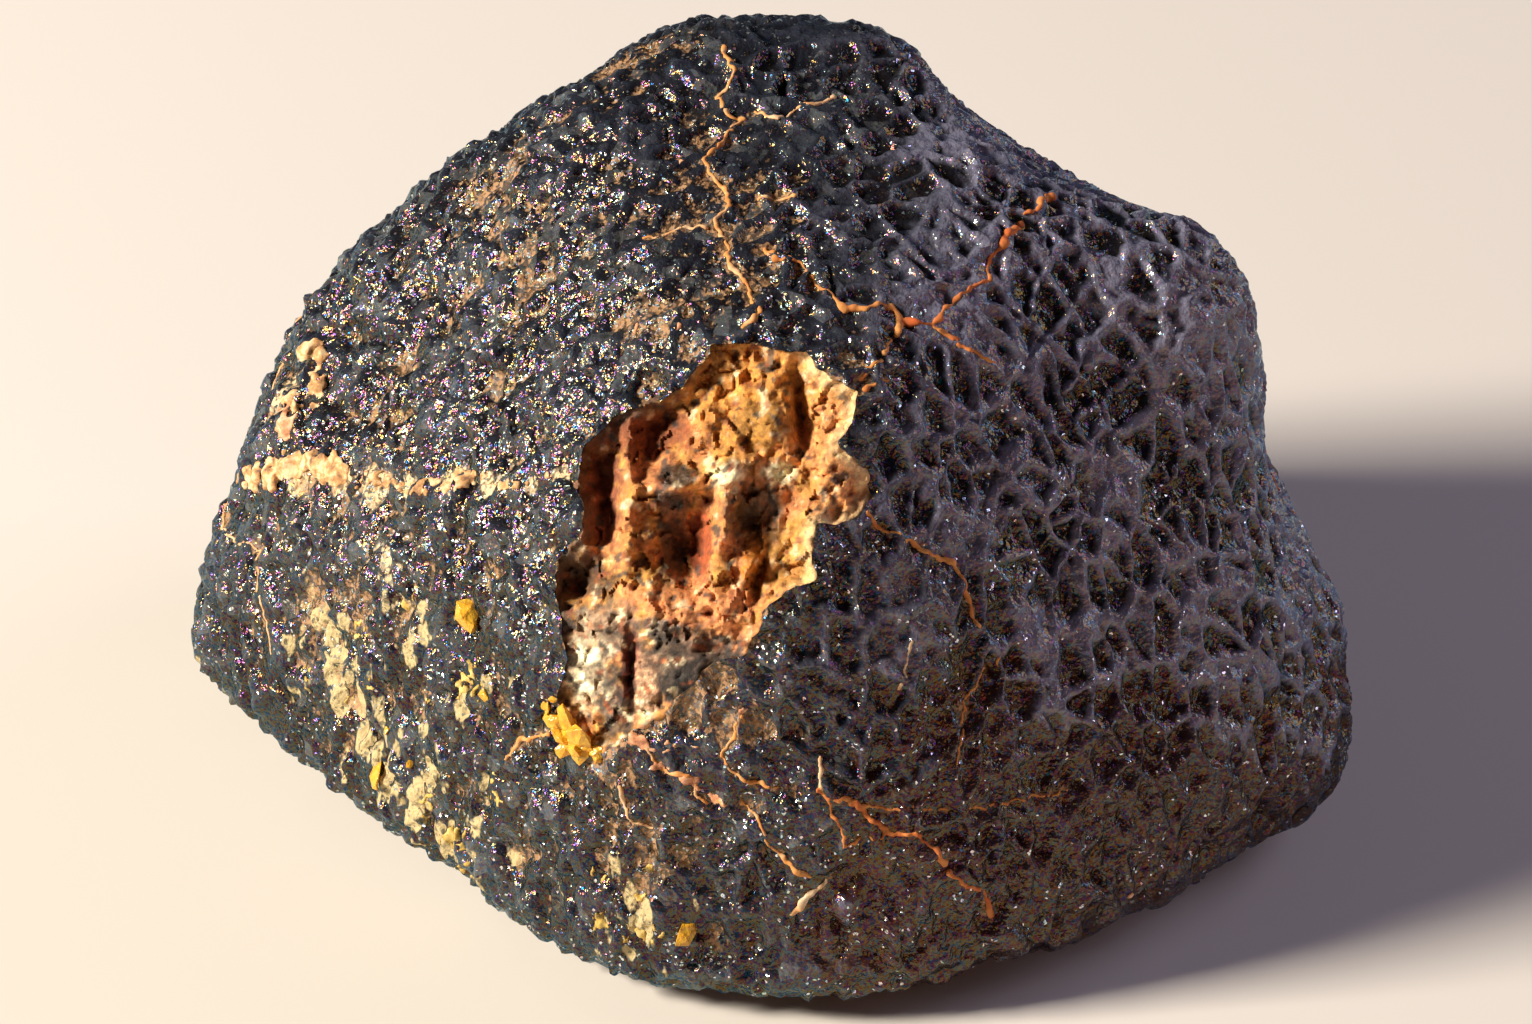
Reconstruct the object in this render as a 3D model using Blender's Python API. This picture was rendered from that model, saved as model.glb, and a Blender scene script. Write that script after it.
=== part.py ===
"""Martian meteorite: one stone, about 44 mm wide, with a chip broken out of its front corner.

The body is a block of soft-edged facets, as a stone gets when it ablates on its way down. The facets
are planes blended into one smooth surface, with swells and dents added where the real outline has
them, and a coarse lumpiness all over. The chip is cut from the front corner, with its pockets,
bars and shelves as relief on its floor. The underside is cut flat where the stone rests.

Axes: +X to the right, +Y away from the viewer, +Z up. All sizes below are millimetres.
"""
import math

import bmesh
import bpy
import numpy as np
from mathutils import Vector, noise

MM = 0.001

# Where the facets are measured from, and how softly they run into each other
HEART = np.array((0.0, 2.0, 12.0))
EDGE_SOFTNESS = 0.95

# Facets: azimuth and elevation of the outward direction in degrees, distance from the heart
FACETS = {
    "roof": (268, 77, 13.8),
    "roof rear edge": (85, 62, 17.7),
    "roof rear left": (146, 48, 16.6),
    "roof rear right": (30, 45, 15.6),
    "upper left slope": (205, 38, 12.9),
    "bevel above the chip": (232, 46, 14.1),
    "right front slope": (306, 27, 14.8),
    "upper right slope": (320, 40, 15.7),
    "lower left front": (221, 5, 14.6),
    "front corner": (262, 6, 16.2),
    "right front": (297, 5, 17.3),
    "right": (325, 6, 19.6),
    "right end": (3, 14, 17.8),
    "rear right": (48, 18, 17.4),
    "rear": (92, 14, 16.4),
    "rear left": (148, 14, 20.4),
    "left edge": (176, 14, 20.2),
    "left shoulder": (172, 20, 19.6),
    "underside": (90, -89, 13.5),
    "underside left front": (215, -82, 13.8),
    "underside right front": (300, -81, 14.0),
    "underside right": (5, -76, 14.8),
    "underside right edge": (325, -50, 22.4),
    "underside left": (165, -78, 15.2),
    "underside rear": (80, -76, 15.4),
    "underside rear right": (50, -55, 18.8),
    "underside rear left": (140, -55, 20.0),
}

# Swells and dents: centre x, y, z, radius, and how far the surface is pushed out
SWELLS = {
    "right flare": (20.0, 0.0, 6.0, 3.0, 1.6),
    "right foot": (19.5, -2.0, 3.0, 2.2, 1.0),
    "right flare rear": (19.0, 6.0, 4.5, 3.4, 1.2),
    "right shoulder": (15.0, 1.0, 21.4, 2.6, 2.2),
    "right shoulder rear": (15.5, 5.5, 18.0, 3.2, 2.2),
    "left foot": (-20.8, 8.0, 1.2, 2.0, 0.6),
    "crown right": (3.8, 8.5, 27.0, 1.8, 0.8),
    "crown left": (-2.0, 8.5, 27.5, 1.6, 0.5),
    "left shelf": (-18.0, 5.0, 13.6, 1.4, 0.9),
    "left notch": (-16.5, 5.0, 16.6, 1.2, -0.8),
    "notch below the right front": (7.8, -12.6, 0.6, 0.8, -0.8),
    "nick beside it": (12.8, -10.8, 1.0, 0.7, -0.5),
}

# Lumps of the crust: wavelength and height of each size
LUMPS = ((5.0, 0.30), (2.6, 0.22))
LUMP_OFFSET = Vector((11.3, 4.7, 8.9))

# The chip is measured in its own frame: u to the right, v up the face, w outwards
CHIP_ORIGIN = np.array((-2.3, -11.3, 18.8))
CHIP_TILT = math.radians(32.0)
CHIP_U = np.array((1.0, 0.0, 0.0))
CHIP_V = np.array((0.0, math.sin(CHIP_TILT), math.cos(CHIP_TILT)))
CHIP_W = np.array((0.0, -math.cos(CHIP_TILT), math.sin(CHIP_TILT)))

# Broken rim of the chip, anticlockwise from its right end
CHIP_RIM = (
    (6.0, 1.0), (5.7, 2.0), (4.9, 2.9), (5.2, 3.7), (5.5, 4.7), (4.6, 5.2), (3.7, 6.1),
    (1.6, 6.4), (0.4, 6.3), (-0.6, 4.9), (-1.4, 4.3), (-2.6, 4.1), (-4.3, 2.8), (-4.2, 0.9),
    (-4.2, -0.5), (-5.0, -1.2), (-5.1, -2.8), (-4.8, -4.4), (-5.0, -6.5), (-3.5, -8.0),
    (-1.9, -7.0), (0.5, -4.8), (1.6, -4.4), (2.2, -3.1), (3.0, -2.3), (4.0, -1.9), (4.1, 0.0),
    (5.2, 0.3),
)
RIM_DEPTH = 0.45
FLOOR_DEPTH = 1.7
WALL_RUN = 0.9
RINGS = 13
RIM_STEPS = 2
CUTTER_REACH = 8.0

# Relief on the chip's floor: centre u, v, half sizes, and depth added (a minus sign stands proud)
CHIP_RELIEF = {
    "left pocket": (-3.5, 1.0, 0.5, 1.6, 1.6),
    "deep pit": (-0.4, -0.4, 0.9, 1.3, 2.2),
    "upper pocket": (-1.6, 3.4, 0.7, 0.7, 0.8),
    "crystal pocket": (2.1, 0.2, 0.8, 1.0, 0.8),
    "upper slot": (3.4, 4.0, 0.3, 1.0, 1.2),
    "folded mass": (2.3, 4.0, 0.8, 1.0, -0.7),
    "left bar": (-2.6, 1.2, 0.35, 2.6, -0.8),
    "middle bar": (0.6, -0.2, 0.35, 1.7, -1.1),
    "right plateau": (5.0, 2.1, 0.8, 1.3, -1.0),
    "lower shelf": (-0.4, -2.7, 1.5, 0.5, -0.7),
    "granular patch": (-3.1, -4.9, 1.5, 2.0, -0.9),
    "crack": (-2.5, -5.4, 0.3, 1.0, 0.8),
    "left hole": (-4.2, -2.0, 0.4, 0.5, 0.8),
}

# The block below the flat spot, and the plain look of the solid
GROUND_BLOCK = 60.0
CRUST_COLOUR = (0.012, 0.013, 0.017, 1.0)
CRUST_ROUGHNESS = 0.35

# Size of the mesh
SPHERE_STEPS = 7
BODY_SHARE = 0.09
SEARCH_STEPS = 26
NEAREST, FARTHEST = 2.0, 40.0


def direction(azimuth, elevation):
    """Unit vector for an azimuth and an elevation in degrees."""
    a, e = math.radians(azimuth), math.radians(elevation)
    return np.array((math.cos(a) * math.cos(e), math.sin(a) * math.cos(e), math.sin(e)))


def body_field(points):
    """How far points lie outside the facetted body, in millimetres; negative is inside."""
    planes = np.array([direction(a, e) for a, e, _ in FACETS.values()])
    reach = np.array([d for _, _, d in FACETS.values()])
    height = ((points - HEART) @ planes.T - reach) / EDGE_SOFTNESS
    top = height.max(axis=-1, keepdims=True)
    value = EDGE_SOFTNESS * (top[..., 0] + np.log(np.exp(height - top).sum(axis=-1)))
    for x, y, z, radius, push in SWELLS.values():
        squared = ((points - np.array((x, y, z))) ** 2).sum(axis=-1)
        value = value - push * np.exp(-squared / (2 * radius * radius))
    return value


def surface_along(starts, ways, nearest, farthest):
    """Distance from each start along its way to the surface of the body, by halving the interval."""
    low = np.full(len(starts), nearest)
    high = np.full(len(starts), farthest)
    for _ in range(SEARCH_STEPS):
        middle = (low + high) / 2
        inside = body_field(starts + ways * middle[:, None]) < 0
        low = np.where(inside, middle, low)
        high = np.where(inside, high, middle)
    return (low + high) / 2


def lumpiness(point):
    """Height of the crust's lumps at a point."""
    return sum(height * noise.noise(Vector(point) / length + LUMP_OFFSET) for length, height in LUMPS)


def add_body():
    """The whole stone before its chip and its flat spot are cut."""
    bm = bmesh.new()
    bmesh.ops.create_icosphere(bm, subdivisions=SPHERE_STEPS, radius=1.0)
    ways = np.array([v.co.normalized() for v in bm.verts])
    starts = np.tile(HEART, (len(ways), 1))
    points = starts + ways * surface_along(starts, ways, NEAREST, FARTHEST)[:, None]
    for vert, way, point in zip(bm.verts, ways, points):
        vert.co = Vector(point + way * lumpiness(point)) * MM
    body = finish_mesh(bm, "body")
    thin = body.modifiers.new("Decimate", "DECIMATE")
    thin.ratio = BODY_SHARE
    return body


def rim_points():
    """The rim's points, with each side cut into steps."""
    points = []
    for (u0, v0), (u1, v1) in zip(CHIP_RIM, CHIP_RIM[1:] + CHIP_RIM[:1]):
        for step in range(RIM_STEPS):
            part = step / RIM_STEPS
            points.append((u0 + (u1 - u0) * part, v0 + (v1 - v0) * part))
    return points


def chip_depth(u, v, rim_gap):
    """Depth of the chip's floor below the crust, from its place and its distance to the rim."""
    blend = min(rim_gap / WALL_RUN, 1.0)
    depth = FLOOR_DEPTH
    for cu, cv, half_u, half_v, extra in CHIP_RELIEF.values():
        depth += extra * math.exp(-0.5 * (((u - cu) / half_u) ** 2 + ((v - cv) / half_v) ** 2))
    return max(RIM_DEPTH, RIM_DEPTH + (depth - RIM_DEPTH) * blend)


def chip_place(u, v, w):
    """A point of the chip's frame in the stone's frame."""
    return CHIP_ORIGIN + CHIP_U * u + CHIP_V * v + CHIP_W * w


def add_chip_cutter():
    """A plug whose underside is the chip's floor, on rings from the middle out to the rim."""
    rim = rim_points()
    middle = np.mean(rim, axis=0)
    spots = [tuple(middle)]
    gaps = [WALL_RUN]
    for ring in range(1, RINGS + 1):
        part = ring / RINGS
        for u, v in rim:
            spots.append(tuple(middle + (np.array((u, v)) - middle) * part))
            gaps.append((1 - part) * math.hypot(u - middle[0], v - middle[1]))
    starts = np.array([chip_place(u, v, -CUTTER_REACH) for u, v in spots])
    ways = np.tile(CHIP_W, (len(starts), 1))
    tops = surface_along(starts, ways, 0.0, 2 * CUTTER_REACH) - CUTTER_REACH

    bm = bmesh.new()
    floor = []
    for (u, v), gap, top in zip(spots, gaps, tops):
        floor.append(bm.verts.new(Vector(chip_place(u, v, top - chip_depth(u, v, gap))) * MM))
    count = len(rim)
    first = floor[1:1 + count]
    for i in range(count):
        bm.faces.new((floor[0], first[i], first[(i + 1) % count]))
    for ring in range(RINGS - 1):
        inner = floor[1 + ring * count:1 + (ring + 1) * count]
        outer = floor[1 + (ring + 1) * count:1 + (ring + 2) * count]
        for i in range(count):
            j = (i + 1) % count
            bm.faces.new((inner[i], outer[i], outer[j], inner[j]))
    outer = floor[-count:]
    lid = [bm.verts.new(Vector(chip_place(u, v, CUTTER_REACH)) * MM) for u, v in rim]
    for i in range(count):
        j = (i + 1) % count
        bm.faces.new((outer[i], lid[i], lid[j], outer[j]))
    bm.faces.new(lid)
    return as_cutter(finish_mesh(bm, "chip cutter"))


def add_ground_cutter():
    """The block below the flat spot on which the stone rests."""
    bm = bmesh.new()
    bmesh.ops.create_cube(bm, size=GROUND_BLOCK * MM)
    bmesh.ops.translate(bm, verts=bm.verts, vec=(0, 0, -GROUND_BLOCK / 2 * MM))
    return as_cutter(finish_mesh(bm, "ground cutter"))


def finish_mesh(bm, name):
    """Turn a bmesh into an object in the scene, its faces pointing outwards."""
    bmesh.ops.recalc_face_normals(bm, faces=bm.faces)
    mesh = bpy.data.meshes.new(name)
    bm.to_mesh(mesh)
    bm.free()
    thing = bpy.data.objects.new(name, mesh)
    bpy.context.collection.objects.link(thing)
    return thing


def as_cutter(thing):
    """Mark an object as one that only cuts."""
    thing.hide_render = True
    thing.display_type = "WIRE"
    return thing


def cut(body, cutter):
    """Take a cutter's volume away from the body."""
    boolean = body.modifiers.new(cutter.name, "BOOLEAN")
    boolean.operation = "DIFFERENCE"
    boolean.solver = "EXACT"
    boolean.object = cutter


def crust_material():
    """Fusion crust: glassy, almost black."""
    material = bpy.data.materials.new("fusion crust")
    material.use_nodes = True
    shader = material.node_tree.nodes["Principled BSDF"]
    shader.inputs["Base Color"].default_value = CRUST_COLOUR
    shader.inputs["Roughness"].default_value = CRUST_ROUGHNESS
    shader.inputs["Metallic"].default_value = 0.0
    return material


def main():
    """Model the stone and stand it on the origin."""
    for thing in list(bpy.data.objects):
        bpy.data.objects.remove(thing)
    body = add_body()
    cutters = [add_chip_cutter(), add_ground_cutter()]
    for cutter in cutters:
        cut(body, cutter)

    # The cut stone becomes one plain mesh, with the middle of its box over the origin
    ready = body.evaluated_get(bpy.context.evaluated_depsgraph_get())
    mesh = bpy.data.meshes.new_from_object(ready)
    corners = np.array([v.co for v in mesh.vertices])
    middle = (corners.min(axis=0) + corners.max(axis=0)) / 2
    for vert in mesh.vertices:
        vert.co -= Vector((middle[0], middle[1], 0))
    for thing in [body, *cutters]:
        bpy.data.objects.remove(thing)
    stone = bpy.data.objects.new("meteorite", mesh)
    mesh.materials.clear()
    mesh.materials.append(crust_material())
    bpy.context.collection.objects.link(stone)


main()
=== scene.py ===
"""The looks of a martian meteorite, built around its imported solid.

The solid gives the stone's form. A fine copy of it gets the leathery relief of a fusion crust and
a ragged opening at the chip, which holds the broken inside of the stone. Lime crust, cracks filled
with oxide and small golden crystals lie on it where the photograph shows them, and where a find of
this kind would have them on the sides that it hides. Meshes are modelled in millimetres and brought
to metres when they are finished.
"""
from __future__ import annotations

import logging
import math
import random
from dataclasses import dataclass, field
from enum import Enum
from typing import Any

import bmesh
import bpy
import numpy as np
from mathutils import Matrix, Vector, noise
from mathutils.bvhtree import BVHTree
from mathutils.kdtree import KDTree

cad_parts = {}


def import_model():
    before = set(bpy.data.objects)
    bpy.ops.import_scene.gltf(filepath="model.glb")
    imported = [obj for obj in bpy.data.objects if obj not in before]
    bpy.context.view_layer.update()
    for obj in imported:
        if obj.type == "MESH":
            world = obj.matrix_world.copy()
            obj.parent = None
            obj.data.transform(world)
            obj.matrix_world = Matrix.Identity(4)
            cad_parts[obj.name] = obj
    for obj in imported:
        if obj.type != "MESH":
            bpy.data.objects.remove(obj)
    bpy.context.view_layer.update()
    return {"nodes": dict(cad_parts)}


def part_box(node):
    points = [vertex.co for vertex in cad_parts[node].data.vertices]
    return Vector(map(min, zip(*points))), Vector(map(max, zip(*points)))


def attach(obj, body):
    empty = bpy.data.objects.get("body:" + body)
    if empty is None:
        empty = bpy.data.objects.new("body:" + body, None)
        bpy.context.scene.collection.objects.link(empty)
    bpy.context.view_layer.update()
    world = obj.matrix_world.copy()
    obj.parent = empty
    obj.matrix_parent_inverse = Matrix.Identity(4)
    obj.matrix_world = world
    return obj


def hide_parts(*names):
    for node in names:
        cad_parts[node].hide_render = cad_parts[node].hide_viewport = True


LOG = logging.getLogger("meteorite")
Tree = bpy.types.NodeTree
Socket = bpy.types.NodeSocket
MM = 0.001
PIXEL = 0.0369  # millimetres of the stone that one pixel of the picture spans
BODY = "root"
STONE = "meteorite"


class Slot(Enum):
    """The material slots' names; no piece here is given one."""

    CRUST = "fusion_crust"
    MATRIX = "chip_matrix"
    LIME = "caliche"
    OXIDE = "oxide_vein"
    AMBER = "amber_crystal"


class Tint(Enum):
    """The colours that lime takes on the stone."""

    CREAM = "cream"
    PEACH = "peach"
    YELLOW = "yellow"


def linear(colour: str) -> tuple[float, float, float, float]:
    """Turn an sRGB hex colour into linear values.

    Args:
        colour: six hex digits, with or without a leading hash.

    Returns:
        Linear red, green, blue and an alpha of one.
    """
    digits = colour.lstrip("#")
    channels = [int(digits[i:i + 2], 16) / 255 for i in (0, 2, 4)]
    red, green, blue = (
        c / 12.92 if c <= 0.04045 else ((c + 0.055) / 1.055) ** 2.4 for c in channels)
    return red, green, blue, 1.0


def put(tree: Tree, kind: str, inputs: Any = (), out: int | str = 0, ramp: tuple = (),
        **settings: Any) -> Socket | None:
    """Add a node with its settings and its links.

    Args:
        tree: the node tree that the node goes into.
        kind: the node's type name.
        inputs: what goes into its sockets, by place or by name: a socket to link or a plain value.
        out: which of its outputs is wanted.
        ramp: for a colour ramp, pairs of position and colour.
        settings: its other properties.

    Returns:
        The output that was asked for, or None where the node has none.
    """
    node = tree.nodes.new(kind)
    for name, value in settings.items():
        setattr(node, name, value)
    pairs = inputs.items() if isinstance(inputs, dict) else enumerate(inputs)
    for key, value in pairs:
        if isinstance(value, Socket):
            tree.links.new(value, node.inputs[key])
        elif value is not None:
            node.inputs[key].default_value = value
    if ramp:
        stops = node.color_ramp.elements
        while len(stops) < len(ramp):
            stops.new(0.5)
        for stop, (position, colour) in zip(stops, ramp):
            stop.position = position
            stop.color = colour
    return node.outputs[out] if len(node.outputs) else None


def calc(tree: Tree, operation: str, *values: Any) -> Socket:
    """One step of arithmetic on sockets and numbers."""
    return put(tree, "ShaderNodeMath", values, operation=operation)


def span(tree: Tree, value: Socket, low: Any, high: Any, start: Any, end: Any,
         smooth: bool = False) -> Socket:
    """Carry a value from the range low to high over to start to end, held at both ends."""
    kind = "SMOOTHSTEP" if smooth else "LINEAR"
    return put(tree, "ShaderNodeMapRange", (value, low, high, start, end), interpolation_type=kind)


def vector_calc(tree: Tree, operation: str, *values: Any) -> Socket:
    """One step of arithmetic on vectors."""
    return put(tree, "ShaderNodeVectorMath", values, operation=operation)


def stored(tree: Tree, name: str, out: str = "Fac") -> Socket:
    """One of the mesh's own fields."""
    return put(tree, "ShaderNodeAttribute", out=out, attribute_name=name)


def scaled(tree: Tree, vector: Any, factor: Any) -> Socket:
    """A vector made longer or shorter."""
    return put(tree, "ShaderNodeVectorMath", {0: vector, "Scale": factor}, operation="SCALE")


def blend(tree: Tree, share: Any, first: Any, second: Any) -> Socket:
    """A mix of two colours, with the share of the second."""
    return put(tree, "ShaderNodeMix", {0: share, 6: first, 7: second}, 2, data_type="RGBA")


def clouds(tree: Tree, place: Socket, scale: float, detail: float, out: int | str = 0,
           **inputs: float) -> Socket:
    """Soft noise: its scale is in lumps a millimetre."""
    wanted = {"Vector": place, "Scale": scale, "Detail": detail, **inputs}
    return put(tree, "ShaderNodeTexNoise", wanted, out)


def cells(tree: Tree, place: Socket, width: float, out: str, feature: str = "F1") -> Socket:
    """A pattern of cells of the given width in millimetres."""
    wanted = {"Vector": place, "Scale": 1 / width}
    return put(tree, "ShaderNodeTexVoronoi", wanted, out, feature=feature)


def channel(tree: Tree, colour: Socket, name: str) -> Socket:
    """One of a colour's channels: Red, Green or Blue."""
    return put(tree, "ShaderNodeSeparateColor", (colour,), name)


def new_material(name: str) -> tuple[bpy.types.Material, Tree, Socket]:
    """Start a material.

    Args:
        name: the real material's name.

    Returns:
        The material, its empty node tree, and the place on the stone in millimetres.
    """
    material = bpy.data.materials.new(name)
    material.use_nodes = True
    tree = material.node_tree
    tree.nodes.clear()
    metres = put(tree, "ShaderNodeTexCoord", out="Object")
    return material, tree, scaled(tree, metres, 1 / MM)


def bump(tree: Tree, height: Socket, strength: float, depth: float) -> Socket:
    """The normal of a surface with fine relief, which is so many millimetres deep."""
    wanted = {"Strength": strength, "Distance": depth * MM, "Height": height}
    return put(tree, "ShaderNodeBump", wanted, "Normal")


def set_surface(tree: Tree, looks: dict[str, Any]) -> None:
    """End a material's tree with a surface that has the given looks."""
    surface = put(tree, "ShaderNodeBsdfPrincipled", looks)
    put(tree, "ShaderNodeOutputMaterial", {"Surface": surface})


def tree_of(spots: Any) -> KDTree:
    """A tree that finds the nearest of many places."""
    tree = KDTree(len(spots))
    for i, spot in enumerate(spots):
        tree.insert(spot, i)
    tree.balance()
    return tree


def select_only(thing: bpy.types.Object) -> None:
    """Make one object the only selected one, and the active one."""
    if bpy.context.object and bpy.context.object.mode != "OBJECT":
        bpy.ops.object.mode_set(mode="OBJECT")
    bpy.ops.object.select_all(action="DESELECT")
    thing.select_set(True)
    bpy.context.view_layer.objects.active = thing


def apply_modifier(thing: bpy.types.Object, kind: str, **settings: Any) -> None:
    """Give an object a modifier and apply it at once.

    Args:
        thing: the object.
        kind: the modifier's type name.
        settings: its properties.
    """
    select_only(thing)
    modifier = thing.modifiers.new(kind.lower(), kind)
    for name, value in settings.items():
        setattr(modifier, name, value)
    bpy.ops.object.modifier_apply(modifier=modifier.name)


def places(thing: bpy.types.Object) -> np.ndarray:
    """The places of an object's vertices, one row each."""
    flat = np.empty(len(thing.data.vertices) * 3, np.float32)
    thing.data.vertices.foreach_get("co", flat)
    return flat.reshape(-1, 3).astype(float)


def set_places(thing: bpy.types.Object, spots: np.ndarray) -> None:
    """Move an object's vertices to the places given."""
    thing.data.vertices.foreach_set("co", spots.astype(np.float32).ravel())
    thing.data.update()


def add_field(thing: bpy.types.Object, name: str, values: np.ndarray) -> None:
    """Store one number for each vertex under a name, or replace it."""
    layer = thing.data.attributes.get(name) or thing.data.attributes.new(name, "FLOAT", "POINT")
    layer.data.foreach_set("value", values.astype(np.float32).ravel())


def add_colours(thing: bpy.types.Object, name: str, colours: np.ndarray) -> None:
    """Store one linear colour for each vertex under a name."""
    layer = thing.data.attributes.new(name, "FLOAT_COLOR", "POINT")
    layer.data.foreach_set("color", colours.astype(np.float32).ravel())


def smoothstep(low: float, high: float, values: np.ndarray) -> np.ndarray:
    """A soft step from 0 at low to 1 at high."""
    part = np.clip((values - low) / (high - low), 0.0, 1.0)
    return part * part * (3 - 2 * part)


def noise_of(spots: np.ndarray, size: float, seed: float, octaves: int = 1) -> np.ndarray:
    """Smooth noise at many places.

    Args:
        spots: places in millimetres, one row each.
        size: the width of a lump of the noise, in millimetres.
        seed: moves the pattern, so that two uses differ.
        octaves: how many finer layers are added.

    Returns:
        One value for each place, about -1 to 1.
    """
    shift = Vector((seed * 17.3, seed * -9.1, seed * 5.7))
    if octaves == 1:
        return np.array([noise.noise(Vector(p) / size + shift) for p in spots])
    return np.array([noise.fractal(Vector(p) / size + shift, 0.9, 2.1, octaves) for p in spots])


def finished(thing: bpy.types.Object, name: str, material: bpy.types.Material) -> bpy.types.Object:
    """Bring a finished piece to metres, name it, dress it and let it ride on the stone.

    Args:
        thing: the piece, modelled in millimetres.
        name: its name in the scene.
        material: its material.

    Returns:
        The same piece.
    """
    thing.data.transform(Matrix.Scale(MM, 4))
    thing.name = name
    thing.data.name = name
    thing.data.materials.clear()
    thing.data.materials.append(material)
    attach(thing, BODY)
    LOG.info("%s: %d faces", name, len(thing.data.polygons))
    return thing


@dataclass(frozen=True)
class View:
    """Where the stone is seen from, and where the picture's pixels fall. Sizes in millimetres."""

    width: int = 1532
    height: int = 1024
    lens: float = 150.0
    sensor: float = 36.0
    distance: float = 235.6
    elevation: float = math.radians(32.0)
    target: tuple[float, float, float] = (0.04, -2.76, 12.3)

    @property
    def back(self) -> Vector:
        """The way from the stone to the camera."""
        return Vector((0.0, -math.cos(self.elevation), math.sin(self.elevation)))

    @property
    def up(self) -> Vector:
        """The way that is up in the picture."""
        return Vector((0.0, math.sin(self.elevation), math.cos(self.elevation)))

    @property
    def eye(self) -> Vector:
        """The camera's place."""
        return Vector(self.target) + self.back * self.distance

    def ray(self, px: float, py: float) -> Vector:
        """The direction in which the camera sees a pixel."""
        focal = self.lens / self.sensor * self.width
        across = Vector((1.0, 0.0, 0.0)) * (px - self.width / 2)
        return (across + self.up * (self.height / 2 - py) - self.back * focal).normalized()

    def add_camera(self) -> None:
        """Add the camera and make it the scene's."""
        data = bpy.data.cameras.new("camera")
        data.lens = self.lens
        data.sensor_width = self.sensor
        data.clip_start = 0.01
        camera = bpy.data.objects.new("camera", data)
        bpy.context.scene.collection.objects.link(camera)
        camera.location = self.eye * MM
        camera.rotation_euler = (math.pi / 2 - self.elevation, 0.0, 0.0)
        bpy.context.scene.camera = camera


class Skin:
    """The stone's finished surface, for laying things on it. Places are in millimetres."""

    def __init__(self, thing: bpy.types.Object, view: View) -> None:
        """Take the surface from a mesh.

        Args:
            thing: the mesh, in millimetres.
            view: where the pixels are seen from.
        """
        graph = bpy.context.evaluated_depsgraph_get()
        self.tree = BVHTree.FromObject(thing, graph)
        self.view = view

    def at_pixel(self, px: float, py: float) -> tuple[Vector, Vector] | None:
        """The place and normal under a pixel, or None beside the stone."""
        spot, normal, _, _ = self.tree.ray_cast(self.view.eye, self.view.ray(px, py))
        return (spot, normal) if spot is not None else None

    def at_angle(self, azimuth: float, height: float) -> tuple[Vector, Vector] | None:
        """The place and normal met from outside at an azimuth in degrees and a height."""
        way = Vector((math.cos(math.radians(azimuth)), math.sin(math.radians(azimuth)), 0.0))
        spot, normal, _, _ = self.tree.ray_cast(way * 60 + Vector((0, 0, height)), -way)
        return (spot, normal) if spot is not None else None

    def nearest(self, spot: Vector) -> tuple[Vector, Vector]:
        """The nearest place on the surface, and its normal."""
        found, normal, _, _ = self.tree.find_nearest(spot)
        return found, normal


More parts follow.
